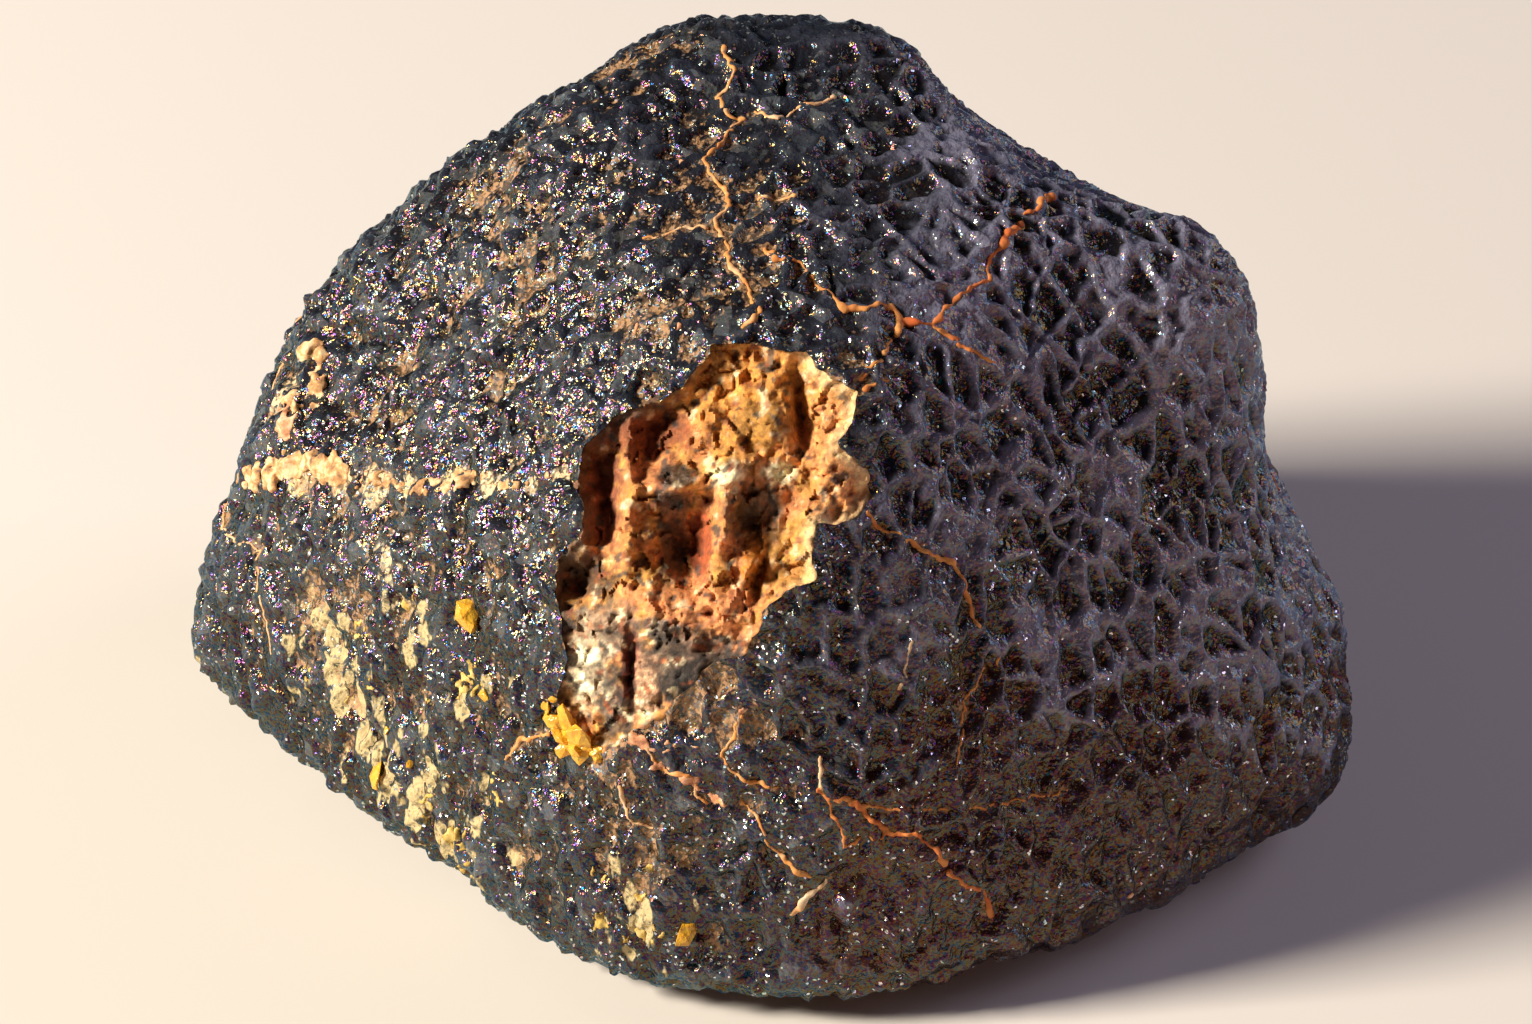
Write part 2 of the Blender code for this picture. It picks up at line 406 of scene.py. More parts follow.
@dataclass(frozen=True)
class CrustRelief:
    """The crust's leathery pattern: nodes that shape the mesh, and finer ones for the shading.

    Sizes are in millimetres. Frothing glass left a net of raised walls round deep dimples on the
    trailing side, and cobbly wrinkles on the side that faced the flow.
    """

    cell: float = 1.25
    small_cell: float = 0.75
    cobble: float = 0.98
    squash: tuple[float, float, float] = (1.0, 1.0, 0.66)
    bend: tuple[float, float] = (0.30, 1.2)
    twist: tuple[float, float] = (1.3, 0.28)
    bowl_depth: float = 0.30
    small_depth: float = 0.15
    cobble_height: float = 0.29
    wrinkle_height: float = 0.22
    swell_height: float = 0.18
    pore: float = 0.40
    pore_depth: float = 0.06
    crinkle_height: float = 0.13

    FIELD = "rise"

    def height(self, tree: Tree, place: Socket) -> Socket:
        """Add the pattern's nodes.

        Args:
            tree: a geometry or shader tree.
            place: the place on the stone in millimetres.

        Returns:
            The height above the plain surface, in millimetres.
        """
        base = vector_calc(tree, "MULTIPLY", place, self.squash)
        bend = self._wander(tree, base, *self.bend)
        twist = self._wander(tree, base, *self.twist)
        moved = vector_calc(tree, "ADD", base, bend)
        moved = vector_calc(tree, "ADD", moved, twist)
        netted = self._net(tree, moved, place)
        cobbled = self._cobbles(tree, moved)
        share = clouds(tree, place, 0.16, 1.0)
        across = put(tree, "ShaderNodeSeparateXYZ", (place,), "X")
        lean = calc(tree, "MULTIPLY_ADD", across, -0.018, share)
        part = span(tree, lean, 0.42, 0.66, 0.0, 0.7, smooth=True)
        pattern = put(tree, "ShaderNodeMix", {0: part, 2: netted, 3: cobbled}, data_type="FLOAT")
        broad = clouds(tree, place, 0.34, 1.0)
        swell = span(tree, broad, 0.25, 0.75, -self.swell_height, self.swell_height)
        return calc(tree, "ADD", pattern, swell)

    def _net(self, tree: Tree, moved: Socket, place: Socket) -> Socket:
        """Deep dimples with thin walls, some of them run together, and smaller ones between."""
        walls = cells(tree, moved, self.cell, "Distance", feature="DISTANCE_TO_EDGE")
        cloud = clouds(tree, place, 0.55, 1.0)
        deep = span(tree, cloud, 0.30, 0.62, 0.55, 1.15)
        bowl = span(tree, walls, 0.0, 0.22, self.bowl_depth * 0.6, -self.bowl_depth * 0.4,
                    smooth=True)
        bowl = calc(tree, "MULTIPLY", bowl, deep)
        ridges = cells(tree, moved, self.small_cell, "Distance", feature="DISTANCE_TO_EDGE")
        small = span(tree, ridges, 0.03, 0.38, self.small_depth / 2, -self.small_depth / 2,
                     smooth=True)
        return calc(tree, "ADD", bowl, small)

    def _cobbles(self, tree: Tree, moved: Socket) -> Socket:
        """Flat-topped scales with narrow grooves between them, and wrinkles over them."""
        grooves = cells(tree, moved, self.cobble, "Distance", feature="DISTANCE_TO_EDGE")
        lump = span(tree, grooves, 0.0, 0.30, -self.cobble_height * 0.6, self.cobble_height * 0.4,
                    smooth=True)
        folds = clouds(tree, moved, 0.95, 1.2, Distortion=0.7)
        crease = span(tree, folds, 0.3, 0.7, -self.wrinkle_height, self.wrinkle_height)
        return calc(tree, "ADD", lump, crease)

    def pores(self, tree: Tree, place: Socket) -> Socket:
        """Pinholes left by gas, too fine for the mesh: their height in millimetres, 0 or less."""
        holes = cells(tree, place, self.pore, "Distance")
        chance = channel(tree, holes.node.outputs["Color"], "Red")
        width = span(tree, chance, 0.6, 1.0, 0.01, 0.30)
        return span(tree, holes, 0.0, width, -self.pore_depth, 0.0, smooth=True)

    @staticmethod
    def _wander(tree: Tree, place: Socket, scale: float, reach: float) -> Socket:
        """A vector that wanders from place to place, up to half the reach each way."""
        cloud = clouds(tree, place, scale, 1.0, "Color")
        centred = vector_calc(tree, "SUBTRACT", cloud, (0.5, 0.5, 0.5))
        return scaled(tree, centred, reach)

    def modifier_group(self, calm: float) -> Tree:
        """A geometry node group that raises the pattern on a mesh in millimetres.

        Args:
            calm: the height above the ground below which the relief fades out.

        Returns:
            The node group.
        """
        tree = bpy.data.node_groups.new("crust relief", "GeometryNodeTree")
        tree.interface.new_socket("Geometry", in_out="INPUT", socket_type="NodeSocketGeometry")
        tree.interface.new_socket("Geometry", in_out="OUTPUT", socket_type="NodeSocketGeometry")
        start = tree.nodes.new("NodeGroupInput").outputs[0]
        end = tree.nodes.new("NodeGroupOutput").inputs[0]
        place = put(tree, "GeometryNodeInputPosition")
        normal = put(tree, "GeometryNodeInputNormal")
        level = put(tree, "ShaderNodeSeparateXYZ", (place,), "Z")
        share = span(tree, level, 0.05, calm, 0.0, 1.0, smooth=True)
        height = calc(tree, "MULTIPLY", self.height(tree, place), share)
        start = put(tree, "GeometryNodeStoreNamedAttribute",
                    {"Geometry": start, "Name": self.FIELD, "Value": height})
        offset = scaled(tree, normal, height)
        shaped = put(tree, "GeometryNodeSetPosition", {"Geometry": start, "Offset": offset})
        tree.links.new(shaped, end)
        return tree


@dataclass(frozen=True)
class FusionCrustFinish:
    """Fusion crust: basalt melted to glass on the way down, then blasted and stained by desert.

    Black glass whose relief is shaded in paint: hollows painted darker and browner as shade, crests
    painted lighter as a highlight on the lit left and grey-blue as a sky reflection on the shaded
    right. A skin of tiny flakes catches the light in many colours, crowded on the lit side as
    painted glints; a red-brown stain low on the shaded right is partly rust and partly painted warm
    bounce light; pale dust is caught in the hollows.
    """

    relief: CrustRelief
    # Painted light in these colours: the hollow colour is painted shade, the crest colour a painted
    # highlight on the lit side, the grey-blue colour a painted sky reflection on the shaded side,
    # and the stain colour partly rust and partly painted warm bounce light.
    hollow: str = "#140f10"
    glass: str = "#15161c"
    crest: str = "#272b36"
    painted_sky_sheen: str = "#68687c"
    stain: str = "#2e130b"
    dust: str = "#9c7650"
    cream: str = "#d6bb90"
    yellow: str = "#bca978"
    flake: float = 0.095
    speck: float = 0.13
    blob: float = 0.95
    facet: float = 0.62
    rust_and_bounce_cover: float = 0.86
    glass_lean: float = 0.14
    flake_lean: float = 0.50
    facet_lean: float = 0.26
    # Painted glints: the share of bright metal plates, given on the lit side only.
    plate_share: float = 0.07
    crowding: float = 0.16

    def build(self) -> bpy.types.Material:
        """Make the material.

        Returns:
            The material, which reads the crust's stain, dust, cream and yellow fields.
        """
        material, tree, place = new_material("fusion_crust_glass")
        height = stored(tree, self.relief.FIELD)
        normal = self._bumps(tree, place)
        # Painted light mask: 0 on the lit left, rising to 1 on the right, which the key light
        # leaves in shade.
        shaded_side = put(tree, "ShaderNodeSeparateXYZ", (place,), "X")
        cloud = clouds(tree, place, 0.20, 2.0)
        shaded_side = calc(tree, "MULTIPLY_ADD", cloud, 14.0, shaded_side)
        shaded_side = span(tree, shaded_side, 8.5, 16.0, 0.0, 1.0, smooth=True)

        colour = self._glass(tree, place, height, shaded_side)
        colour, covered = self._dirt(tree, place, height, colour)
        facing, colour, metal, film = self._flakes(tree, place, normal, shaded_side, covered, colour)
        rough = span(tree, covered, 0.0, 1.0, 0.22, 0.9)
        set_surface(tree, {"Base Color": colour, "Roughness": rough, "IOR": 1.75, "Normal": facing,
                           "Metallic": metal, "Thin Film Thickness": film, "Thin Film IOR": 1.18})
        return material

    def _bumps(self, tree: Tree, place: Socket) -> Socket:
        """The normal with the crinkles, the pores and the grit, too fine for the mesh."""
        crinkles = clouds(tree, place, 1.8, 3.0, Roughness=0.55)
        crinkles = calc(tree, "MULTIPLY", crinkles, self.relief.crinkle_height * 2)
        total = calc(tree, "ADD", crinkles, self.relief.pores(tree, place))
        return bump(tree, total, 1.0, 1.0)

    def _glass(self, tree: Tree, place: Socket, height: Socket, shaded_side: Socket) -> Socket:
        """The bare glass: hollows painted darker and browner as shade, black glass, crests painted
        lighter as a highlight on the lit left and grey-blue as a sky reflection on the shaded
        right, and a red stain low down that is partly rust and partly painted warm bounce light.
        """
        shade = clouds(tree, place, 0.9, 3.0)
        level = calc(tree, "MULTIPLY_ADD", shade, 0.22, height)
        # Painted shade: the lower the relief, the more the glass turns to the darker, browner
        # hollow colour.
        low = span(tree, level, -0.16, 0.08, 0.0, 1.0)
        # Painted highlight: crests take the lighter crest colour, more of them on the shaded side.
        top = span(tree, shaded_side, 0.0, 1.0, 0.30, 0.22)
        high = span(tree, level, 0.06, top, 0.0, 1.0)
        colour = blend(tree, low, linear(self.hollow), linear(self.glass))
        # Painted sky reflection: on the shaded right the crests turn grey-blue.
        crest = blend(tree, shaded_side, linear(self.crest), linear(self.painted_sky_sheen))
        colour = blend(tree, high, colour, crest)
        # Partly rust, partly painted warm bounce light: a red-brown wash low on the shaded right.
        stain = self._patch(tree, place, "stain", 0.9, 4.0, 0.8, height)
        stain = calc(tree, "MULTIPLY", stain, self.rust_and_bounce_cover)
        return blend(tree, stain, colour, linear(self.stain))

    def _dirt(self, tree: Tree, place: Socket, height: Socket,
              colour: Socket) -> tuple[Socket, Socket]:
        """Dust and lime over the glass: the colour with them, and how much they cover."""
        covered = None
        specks = cells(tree, place, self.speck, "Color")
        speck = channel(tree, specks, "Blue")
        layers = ((self._blobs(tree, place, "yellow"), self.yellow, 0.0),
                  (self._patch(tree, place, "cream", 2.2, 4.0, 0.9, height), self.cream, 0.3),
                  (self._patch(tree, place, "dust", 4.2, 5.0, 1.5, height), self.dust, 0.45))
        for mask, shade, gaps in layers:
            grainy = span(tree, speck, gaps, gaps + 0.3, 0.2, 0.95)
            mask = calc(tree, "MULTIPLY", mask, grainy)
            colour = blend(tree, mask, colour, linear(shade))
            covered = mask if covered is None else calc(tree, "MAXIMUM", covered, mask)
        return colour, covered

    def _flakes(self, tree: Tree, place: Socket, normal: Socket, shaded_side: Socket, covered: Socket,
                colour: Socket) -> tuple[Socket, ...]:
        """Tiny mirrors in the glass: the normal, colour, metallic share and film with them. Their
        count is
        painted by where light falls: many on the lit left, few on the shaded right, and bright
        metal plates only on the lit side, as painted glints.
        """
        flakes = cells(tree, place, self.flake, "Color")
        facets = cells(tree, place, self.facet, "Color")
        hue = channel(tree, flakes, "Red")
        chance = channel(tree, flakes, "Green")
        # Painted glints: fewer flakes on the shaded side than on the lit side.
        bar = span(tree, shaded_side, 0.0, 1.0, 0.973, 0.994)
        crowd = clouds(tree, place, 0.9, 1.0)
        bar = calc(tree, "MULTIPLY_ADD", crowd, self.crowding, bar)
        bar = calc(tree, "ADD", bar, -self.crowding / 2)
        shown = calc(tree, "GREATER_THAN", chance, bar)
        # Painted glints: bright metal plates only on the lit side.
        bright = channel(tree, facets, "Green")
        lit = span(tree, shaded_side, 0.0, 0.5, self.plate_share, 0.0)
        bright = span(tree, bright, 0.75, 0.95, 0.0, 1.0)
        bright = calc(tree, "MULTIPLY", bright, lit)
        reach = span(tree, shown, 0.0, 1.0, self.glass_lean, self.flake_lean)
        facing = normal
        for tilts, size in ((flakes, reach), (facets, self.facet_lean)):
            lean = vector_calc(tree, "SUBTRACT", tilts, (0.5, 0.5, 0.5))
            lean = scaled(tree, lean, size)
            facing = vector_calc(tree, "ADD", facing, lean)
        facing = vector_calc(tree, "NORMALIZE", facing)
        facing = put(tree, "ShaderNodeMix", {0: covered, 4: facing, 5: normal}, 1,
                     data_type="VECTOR")
        clear = calc(tree, "SUBTRACT", 1.0, covered)
        shown = calc(tree, "MAXIMUM", shown, bright)
        shown = calc(tree, "MULTIPLY", shown, clear)
        gleam = put(tree, "ShaderNodeValToRGB", (hue,), ramp=(
            (0.0, linear("#bcdcea")), (0.3, linear("#f2f4f4")), (0.55, linear("#e6d2d8")),
            (0.75, linear("#c8e4cc")), (1.0, linear("#c6c2ee"))))
        colour = blend(tree, shown, colour, gleam)
        metal = calc(tree, "MULTIPLY", shown, 0.9)
        film = span(tree, hue, 0.0, 1.0, 220.0, 430.0)
        film = calc(tree, "MULTIPLY", film, clear)
        return facing, colour, metal, film

    def _blobs(self, tree: Tree, place: Socket, name: str) -> Socket:
        """A mask of separate upright blobs, larger where one of the crust's fields is strong."""
        amount = stored(tree, name)
        tall = vector_calc(tree, "MULTIPLY", place, (1.0, 1.0, 0.55))
        sway = clouds(tree, tall, 2.2, 2.0, "Color")
        tall = vector_calc(tree, "MULTIPLY_ADD", sway, (0.8, 0.8, 0.8), tall)
        away = cells(tree, tall, self.blob, "Distance")
        chance = channel(tree, away.node.outputs["Color"], "Red")
        most = calc(tree, "MINIMUM", amount, 0.62)
        size = calc(tree, "MULTIPLY_ADD", chance, 0.55, most)
        size = calc(tree, "MULTIPLY_ADD", away, -1.1, size)
        mask = span(tree, size, 0.42, 0.54, 0.0, 1.0, smooth=True)
        present = span(tree, amount, 0.05, 0.2, 0.0, 1.0)
        return calc(tree, "MULTIPLY", mask, present)

    def _patch(self, tree: Tree, place: Socket, name: str, scale: float, detail: float,
               hollow: float, height: Socket) -> Socket:
        """A ragged mask where one of the crust's fields is strong, more so in hollows."""
        amount = stored(tree, name)
        tall = vector_calc(tree, "MULTIPLY", place, (1.0, 1.0, 0.6))
        cloud = clouds(tree, tall, scale, detail, Roughness=0.6)
        ragged = calc(tree, "MULTIPLY_ADD", cloud, 1.0, -0.5)
        total = calc(tree, "ADD", amount, ragged)
        total = calc(tree, "MULTIPLY_ADD", height, -hollow, total)
        mask = span(tree, total, 0.44, 0.56, 0.0, 1.0, smooth=True)
        present = span(tree, amount, 0.02, 0.12, 0.0, 1.0)
        return calc(tree, "MULTIPLY", mask, present)


@dataclass(frozen=True)
class BrokenMatrixFinish:
    """Broken basalt, weathered: ochre to peach grains, pale salts and dark glassy clasts."""

    grain: float = 0.14

    def build(self) -> bpy.types.Material:
        """Make the material, which reads the matrix's tint and gloss fields."""
        material, tree, place = new_material("broken_basalt")
        tint = stored(tree, "tint", "Color")
        gloss = stored(tree, "gloss")
        speck = cells(tree, place, self.grain, "Color")
        value = channel(tree, speck, "Red")
        mottle = span(tree, value, 0.0, 1.0, 0.72, 1.22)
        cloud = clouds(tree, place, 1.6, 4.0)
        broad = span(tree, cloud, 0.3, 0.7, 0.75, 1.2)
        mottle = calc(tree, "MULTIPLY", mottle, broad)
        colour = scaled(tree, tint, mottle)
        bumps = clouds(tree, place, 5.0, 5.0, Roughness=0.7)
        relief = bump(tree, bumps, 0.8, 0.12)
        rough = span(tree, gloss, 0.0, 1.0, 0.8, 0.25)
        set_surface(tree, {"Base Color": colour, "Roughness": rough, "IOR": 1.55, "Normal": relief,
                           "Subsurface Weight": 0.08, "Subsurface Radius": (0.6, 0.3, 0.15),
                           "Subsurface Scale": 0.4 * MM})
        return material


@dataclass(frozen=True)
class LimeFinish:
    """Caliche: desert lime dried on the stone, matt and chalky, stained by clay and iron."""

    tint: Tint

    COLOURS = {
        Tint.CREAM: ("#e2c49a", "#c4925c", "#6e5140"),
        Tint.PEACH: ("#e3b795", "#cf8f66", "#8a5a40"),
        Tint.YELLOW: ("#d9c27a", "#bd9a45", "#6f6238"),
    }

    def build(self) -> bpy.types.Material:
        """Make the material."""
        light, middle, dark = (linear(c) for c in self.COLOURS[self.tint])
        material, tree, place = new_material(f"lime_{self.tint.value}")
        cloud = clouds(tree, place, 2.2, 5.0, Roughness=0.65)
        colour = put(tree, "ShaderNodeValToRGB", (cloud,), ramp=(
            (0.34, dark), (0.48, middle), (0.60, light), (0.8, light)))
        relief = bump(tree, cloud, 0.7, 0.08)
        set_surface(tree, {"Base Color": colour, "Roughness": 0.88, "IOR": 1.5, "Normal": relief})
        return material


@dataclass(frozen=True)
class OxideFinish:
    """Iron oxide and clay in hairline cracks: rust orange to pale tan, matt and powdery."""

    def build(self) -> bpy.types.Material:
        """Make the material, which reads the vein's warmth field."""
        material, tree, place = new_material("iron_oxide_infill")
        cloud = clouds(tree, place, 1.7, 4.0)
        warmth = stored(tree, "warmth")
        total = calc(tree, "MULTIPLY_ADD", cloud, 0.7, warmth)
        colour = put(tree, "ShaderNodeValToRGB", (total,), ramp=(
            (0.25, linear("#d8c3a2")), (0.55, linear("#cb8c4a")), (0.85, linear("#b7602c")),
            (1.0, linear("#c2501c"))))
        relief = bump(tree, cloud, 0.6, 0.05)
        set_surface(tree, {"Base Color": colour, "Roughness": 0.9, "IOR": 1.5, "Normal": relief})
        return material


@dataclass(frozen=True)
class AmberFinish:
    """Golden crystal, broken: clear with a deep yellow body colour and cloudy flaws."""

    light: str = "#ffe14e"
    deep: str = "#f0880c"

    def build(self) -> bpy.types.Material:
        """Make the material."""
        material, tree, place = new_material("golden_crystal")
        cloud = clouds(tree, place, 3.4, 4.0)
        colour = blend(tree, cloud, linear(self.light), linear(self.deep))
        relief = bump(tree, cloud, 0.8, 0.16)
        set_surface(tree, {"Base Color": colour, "Roughness": 0.18, "IOR": 1.58, "Normal": relief,
                           "Transmission Weight": 0.32})
        return material


class ThinPlate:
    """A smooth sheet through scattered heights, which bends as little as it can."""

    def __init__(self, spots: np.ndarray, heights: np.ndarray, slack: float = 0.02) -> None:
        """Fit the sheet.

        Args:
            spots: places in the plane, one row each.
            heights: the height at each place.
            slack: how far the sheet may miss them to stay smooth.
        """
        self.spots = spots
        count = len(spots)
        gaps = np.linalg.norm(spots[:, None] - spots[None], axis=2)
        flat = np.column_stack((np.ones(count), spots))
        whole = np.zeros((count + 3, count + 3))
        whole[:count, :count] = self._bend(gaps) + slack * np.eye(count)
        whole[:count, count:] = flat
        whole[count:, :count] = flat.T
        solved = np.linalg.solve(whole, np.concatenate((heights, np.zeros(3))))
        self.weights = solved[:count]
        self.plane = solved[count:]

    @staticmethod
    def _bend(gaps: np.ndarray) -> np.ndarray:
        """The pull of one place on another."""
        return np.where(gaps > 0, gaps ** 2 * np.log(np.maximum(gaps, 1e-9)), 0.0)

    def __call__(self, spots: np.ndarray) -> np.ndarray:
        """The sheet's height at each place."""
        gaps = np.linalg.norm(spots[:, None] - self.spots[None], axis=2)
        tilt = self.plane[0] + spots @ self.plane[1:]
        return self._bend(gaps) @ self.weights + tilt


@dataclass(frozen=True)
class Mark:
    """A soft-edged feature on the chip's floor: its middle, half sizes, depth and lean."""

    u: float
    v: float
    half_u: float
    half_v: float
    depth: float
    turn: float = 0.0

    def weight(self, u: np.ndarray, v: np.ndarray) -> np.ndarray:
        """How strongly the feature is felt at each place, 1 in the middle."""
        cos, sin = math.cos(math.radians(self.turn)), math.sin(math.radians(self.turn))
        across = (u - self.u) * cos + (v - self.v) * sin
        along = (v - self.v) * cos - (u - self.u) * sin
        return np.exp(-0.5 * ((across / self.half_u) ** 2 + (along / self.half_v) ** 2))


@dataclass
class ChipOutline:
    """The ragged rim of the chip, in the plane that faces the camera. Sizes in millimetres."""

    origin: tuple[float, float, float] = (-2.26, -14.06, 18.8)
    scale: float = 0.0349
    origin_pixel: tuple[float, float] = (700.0, 520.0)
    step: float = 0.09
    coarse: float = 0.24
    fine: float = 0.10
    rim: tuple[tuple[float, float], ...] = (
        (6.0, 1.0), (5.7, 2.0), (4.9, 2.9), (5.2, 3.7), (5.5, 4.7), (4.6, 5.2), (3.7, 6.1),
        (1.6, 6.4), (0.4, 6.3), (-0.6, 4.9), (-1.4, 4.3), (-2.6, 4.1), (-4.3, 2.8), (-4.2, 0.9),
        (-4.2, -0.5), (-5.0, -1.2), (-5.1, -2.8), (-4.8, -4.4), (-5.0, -6.5), (-3.5, -8.0),
        (-1.9, -7.0), (0.5, -4.8), (1.6, -4.4), (2.2, -3.1), (3.0, -2.3), (4.0, -1.9), (4.1, 0.0),
        (5.2, 0.3))
    points: np.ndarray = field(init=False)

    def __post_init__(self) -> None:
        """Work out the ragged outline from the rim's corners."""
        self.points = self._ragged()

    def _ragged(self) -> np.ndarray:
        """The rim cut into short steps, each pushed in or out a little."""
        corners = np.array(self.rim)
        spots = []
        for start, end in zip(corners, np.roll(corners, -1, axis=0)):
            run = end - start
            length = float(np.linalg.norm(run))
            side = np.array((run[1], -run[0])) / length
            for i in range(max(1, round(length / self.step))):
                spot = start + run * (i * self.step / length)
                probe = Vector((spot[0], spot[1], 0.0))
                push = self.coarse * noise.noise(probe * 1.1) + self.fine * noise.noise(probe * 3.1)
                spots.append(spot + side * push)
        return np.array(spots)

    def gap(self, u: np.ndarray, v: np.ndarray) -> np.ndarray:
        """The distance of places to the outline, positive inside it.

        Args:
            u: places across.
            v: places up.

        Returns:
            One distance for each place.
        """
        spots = np.column_stack((u, v))
        nearest = np.full(len(spots), np.inf)
        inside = np.zeros(len(spots), bool)
        for start, end in zip(self.points, np.roll(self.points, -1, axis=0)):
            run = end - start
            part = np.clip(((spots - start) @ run) / (run @ run), 0.0, 1.0)
            away = spots - start - part[:, None] * run
            nearest = np.minimum(nearest, np.einsum("ij,ij->i", away, away))
            if start[1] != end[1]:
                crosses = (spots[:, 1] < start[1]) != (spots[:, 1] < end[1])
                at = start[0] + (spots[:, 1] - start[1]) / (end[1] - start[1]) * run[0]
                inside ^= crosses & (spots[:, 0] < at)
        gaps = np.sqrt(nearest)
        return np.where(inside, gaps, -gaps)

    def axes(self, view: View) -> np.ndarray:
        """The chip's axes as rows: across, up and towards the camera."""
        return np.array(((1.0, 0.0, 0.0), tuple(view.up), tuple(view.back)))

    def to_local(self, spots: np.ndarray, view: View) -> np.ndarray:
        """Places of the stone in the chip's frame."""
        return (spots - np.array(self.origin)) @ self.axes(view).T

    def to_stone(self, spots: np.ndarray, view: View) -> np.ndarray:
        """Places of the chip's frame in the stone."""
        return spots @ self.axes(view) + np.array(self.origin)

    def pixel(self, px: float, py: float) -> tuple[float, float]:
        """A pixel of the picture in the chip's plane."""
        return (px - self.origin_pixel[0]) * self.scale, (self.origin_pixel[1] - py) * self.scale


@dataclass
class FusionCrust:
    """The stone's skin: the solid's form with the crust's relief, open at the chip."""

    outline: ChipOutline
    view: View
    relief: CrustRelief
    voxel: float = 0.15
    quick_voxel: float = 0.24
    most_triangles: int = 192_000
    smoothing: int = 24
    calm_height: float = 1.4
    cut_depth: float = 4.9
    ring_out: float = 2.4
    ring_in: float = 0.9
    ring_count: int = 420
    sheet_edge: float = 0.75
    sheet_blend: float = 0.40
    near_chip: tuple[float, float, float] = (9.0, 11.0, 6.0)
    thing: bpy.types.Object = field(init=False)
    sheet: ThinPlate = field(init=False)

    def build(self, solid: bpy.types.Object) -> bpy.types.Object:
        """Shape the crust from the solid.

        Args:
            solid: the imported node, which stays as it is.

        Returns:
            The crust, still in millimetres.
        """
        copy = solid.copy()
        copy.data = solid.data.copy()
        copy.parent = None
        for key in list(copy.keys()):
            del copy[key]
        bpy.context.scene.collection.objects.link(copy)
        self.thing = copy
        copy.data.transform(Matrix.Scale(1 / MM, 4))
        select_only(copy)
        bpy.ops.object.mode_set(mode="EDIT")
        bpy.ops.mesh.select_all(action="SELECT")
        bpy.ops.mesh.remove_doubles(threshold=0.002)
        bpy.ops.object.mode_set(mode="OBJECT")
        step = self.voxel
        apply_modifier(copy, "REMESH", mode="VOXEL", voxel_size=step, use_smooth_shade=True)
        self._close_chip()
        rounds = round(self.smoothing * (self.voxel / step) ** 2)
        apply_modifier(copy, "SMOOTH", factor=0.5, iterations=max(rounds, 6))
        self._settle()
        group = self.relief.modifier_group(self.calm_height)
        apply_modifier(copy, "NODES", node_group=group)
        bpy.data.node_groups.remove(group)
        self._settle()
        self._open_chip()
        self._thin_out()
        select_only(copy)
        bpy.ops.object.shade_smooth_by_angle(angle=math.radians(55))
        return copy

    def _settle(self) -> None:
        """Keep the flat spot on the ground and the skin within the solid's box."""
        low, high = (np.array(corner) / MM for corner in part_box(STONE))
        set_places(self.thing, np.clip(places(self.thing), low, high))

    def _close_chip(self) -> None:
        """Lay a smooth sheet over the chip's recess, so that a crisp rim can be cut in it."""
        spots = places(self.thing)
        local = self.outline.to_local(spots, self.view)
        index = np.nonzero((np.abs(local) < self.near_chip).all(axis=1))[0]
        near = local[index]
        gaps = self.outline.gap(near[:, 0], near[:, 1])
        ring = (gaps < -self.ring_in) & (gaps > -self.ring_out)
        chosen = near[ring]
        order = np.random.default_rng(5).permutation(len(chosen))[:self.ring_count]
        chosen = chosen[order]
        self.sheet = ThinPlate(chosen[:, :2], chosen[:, 2])
        inner = gaps > -self.sheet_edge
        share = smoothstep(-self.sheet_edge, self.sheet_blend - self.sheet_edge, gaps[inner])
        height = self.sheet(near[inner, :2])
        near[inner, 2] += (height - near[inner, 2]) * share
        local[index] = near
        set_places(self.thing, self.outline.to_stone(local, self.view))

    def _open_chip(self) -> None:
        """Cut the chip's ragged opening straight in, along the line of sight."""
        points = self.outline.points
        select_only(self.thing)
        bpy.ops.mesh.primitive_circle_add(vertices=len(points), radius=1.0, fill_type="NGON")
        cutter = bpy.context.object
        tops = self.sheet(points)
        low = float(tops.min()) - self.cut_depth
        local = np.column_stack((points, np.full(len(points), low)))
        set_places(cutter, self.outline.to_stone(local, self.view))
        bpy.ops.object.mode_set(mode="EDIT")
        bpy.ops.mesh.select_all(action="SELECT")
        reach = self.view.back * (self.cut_depth + float(np.ptp(tops)) + 4.0)
        bpy.ops.mesh.extrude_region_move(TRANSFORM_OT_translate={"value": reach})
        bpy.ops.mesh.select_all(action="SELECT")
        bpy.ops.mesh.normals_make_consistent(inside=False)
        bpy.ops.object.mode_set(mode="OBJECT")
        apply_modifier(self.thing, "BOOLEAN", operation="DIFFERENCE", solver="MANIFOLD",
                       object=cutter)
        bpy.data.objects.remove(cutter)

    def rim(self) -> list[Vector]:
        """Places along the chip's rim, on the crust."""
        local = np.column_stack((self.outline.points, self.sheet(self.outline.points)))
        return [Vector(spot) for spot in self.outline.to_stone(local, self.view)]

    def _thin_out(self) -> None:
        """Keep the finest triangles for the relief, and drop the rest where the crust is plain."""
        count = sum(len(p.vertices) - 2 for p in self.thing.data.polygons)
        if count > self.most_triangles:
            apply_modifier(self.thing, "DECIMATE", ratio=self.most_triangles / count,
                           use_collapse_triangulate=True)


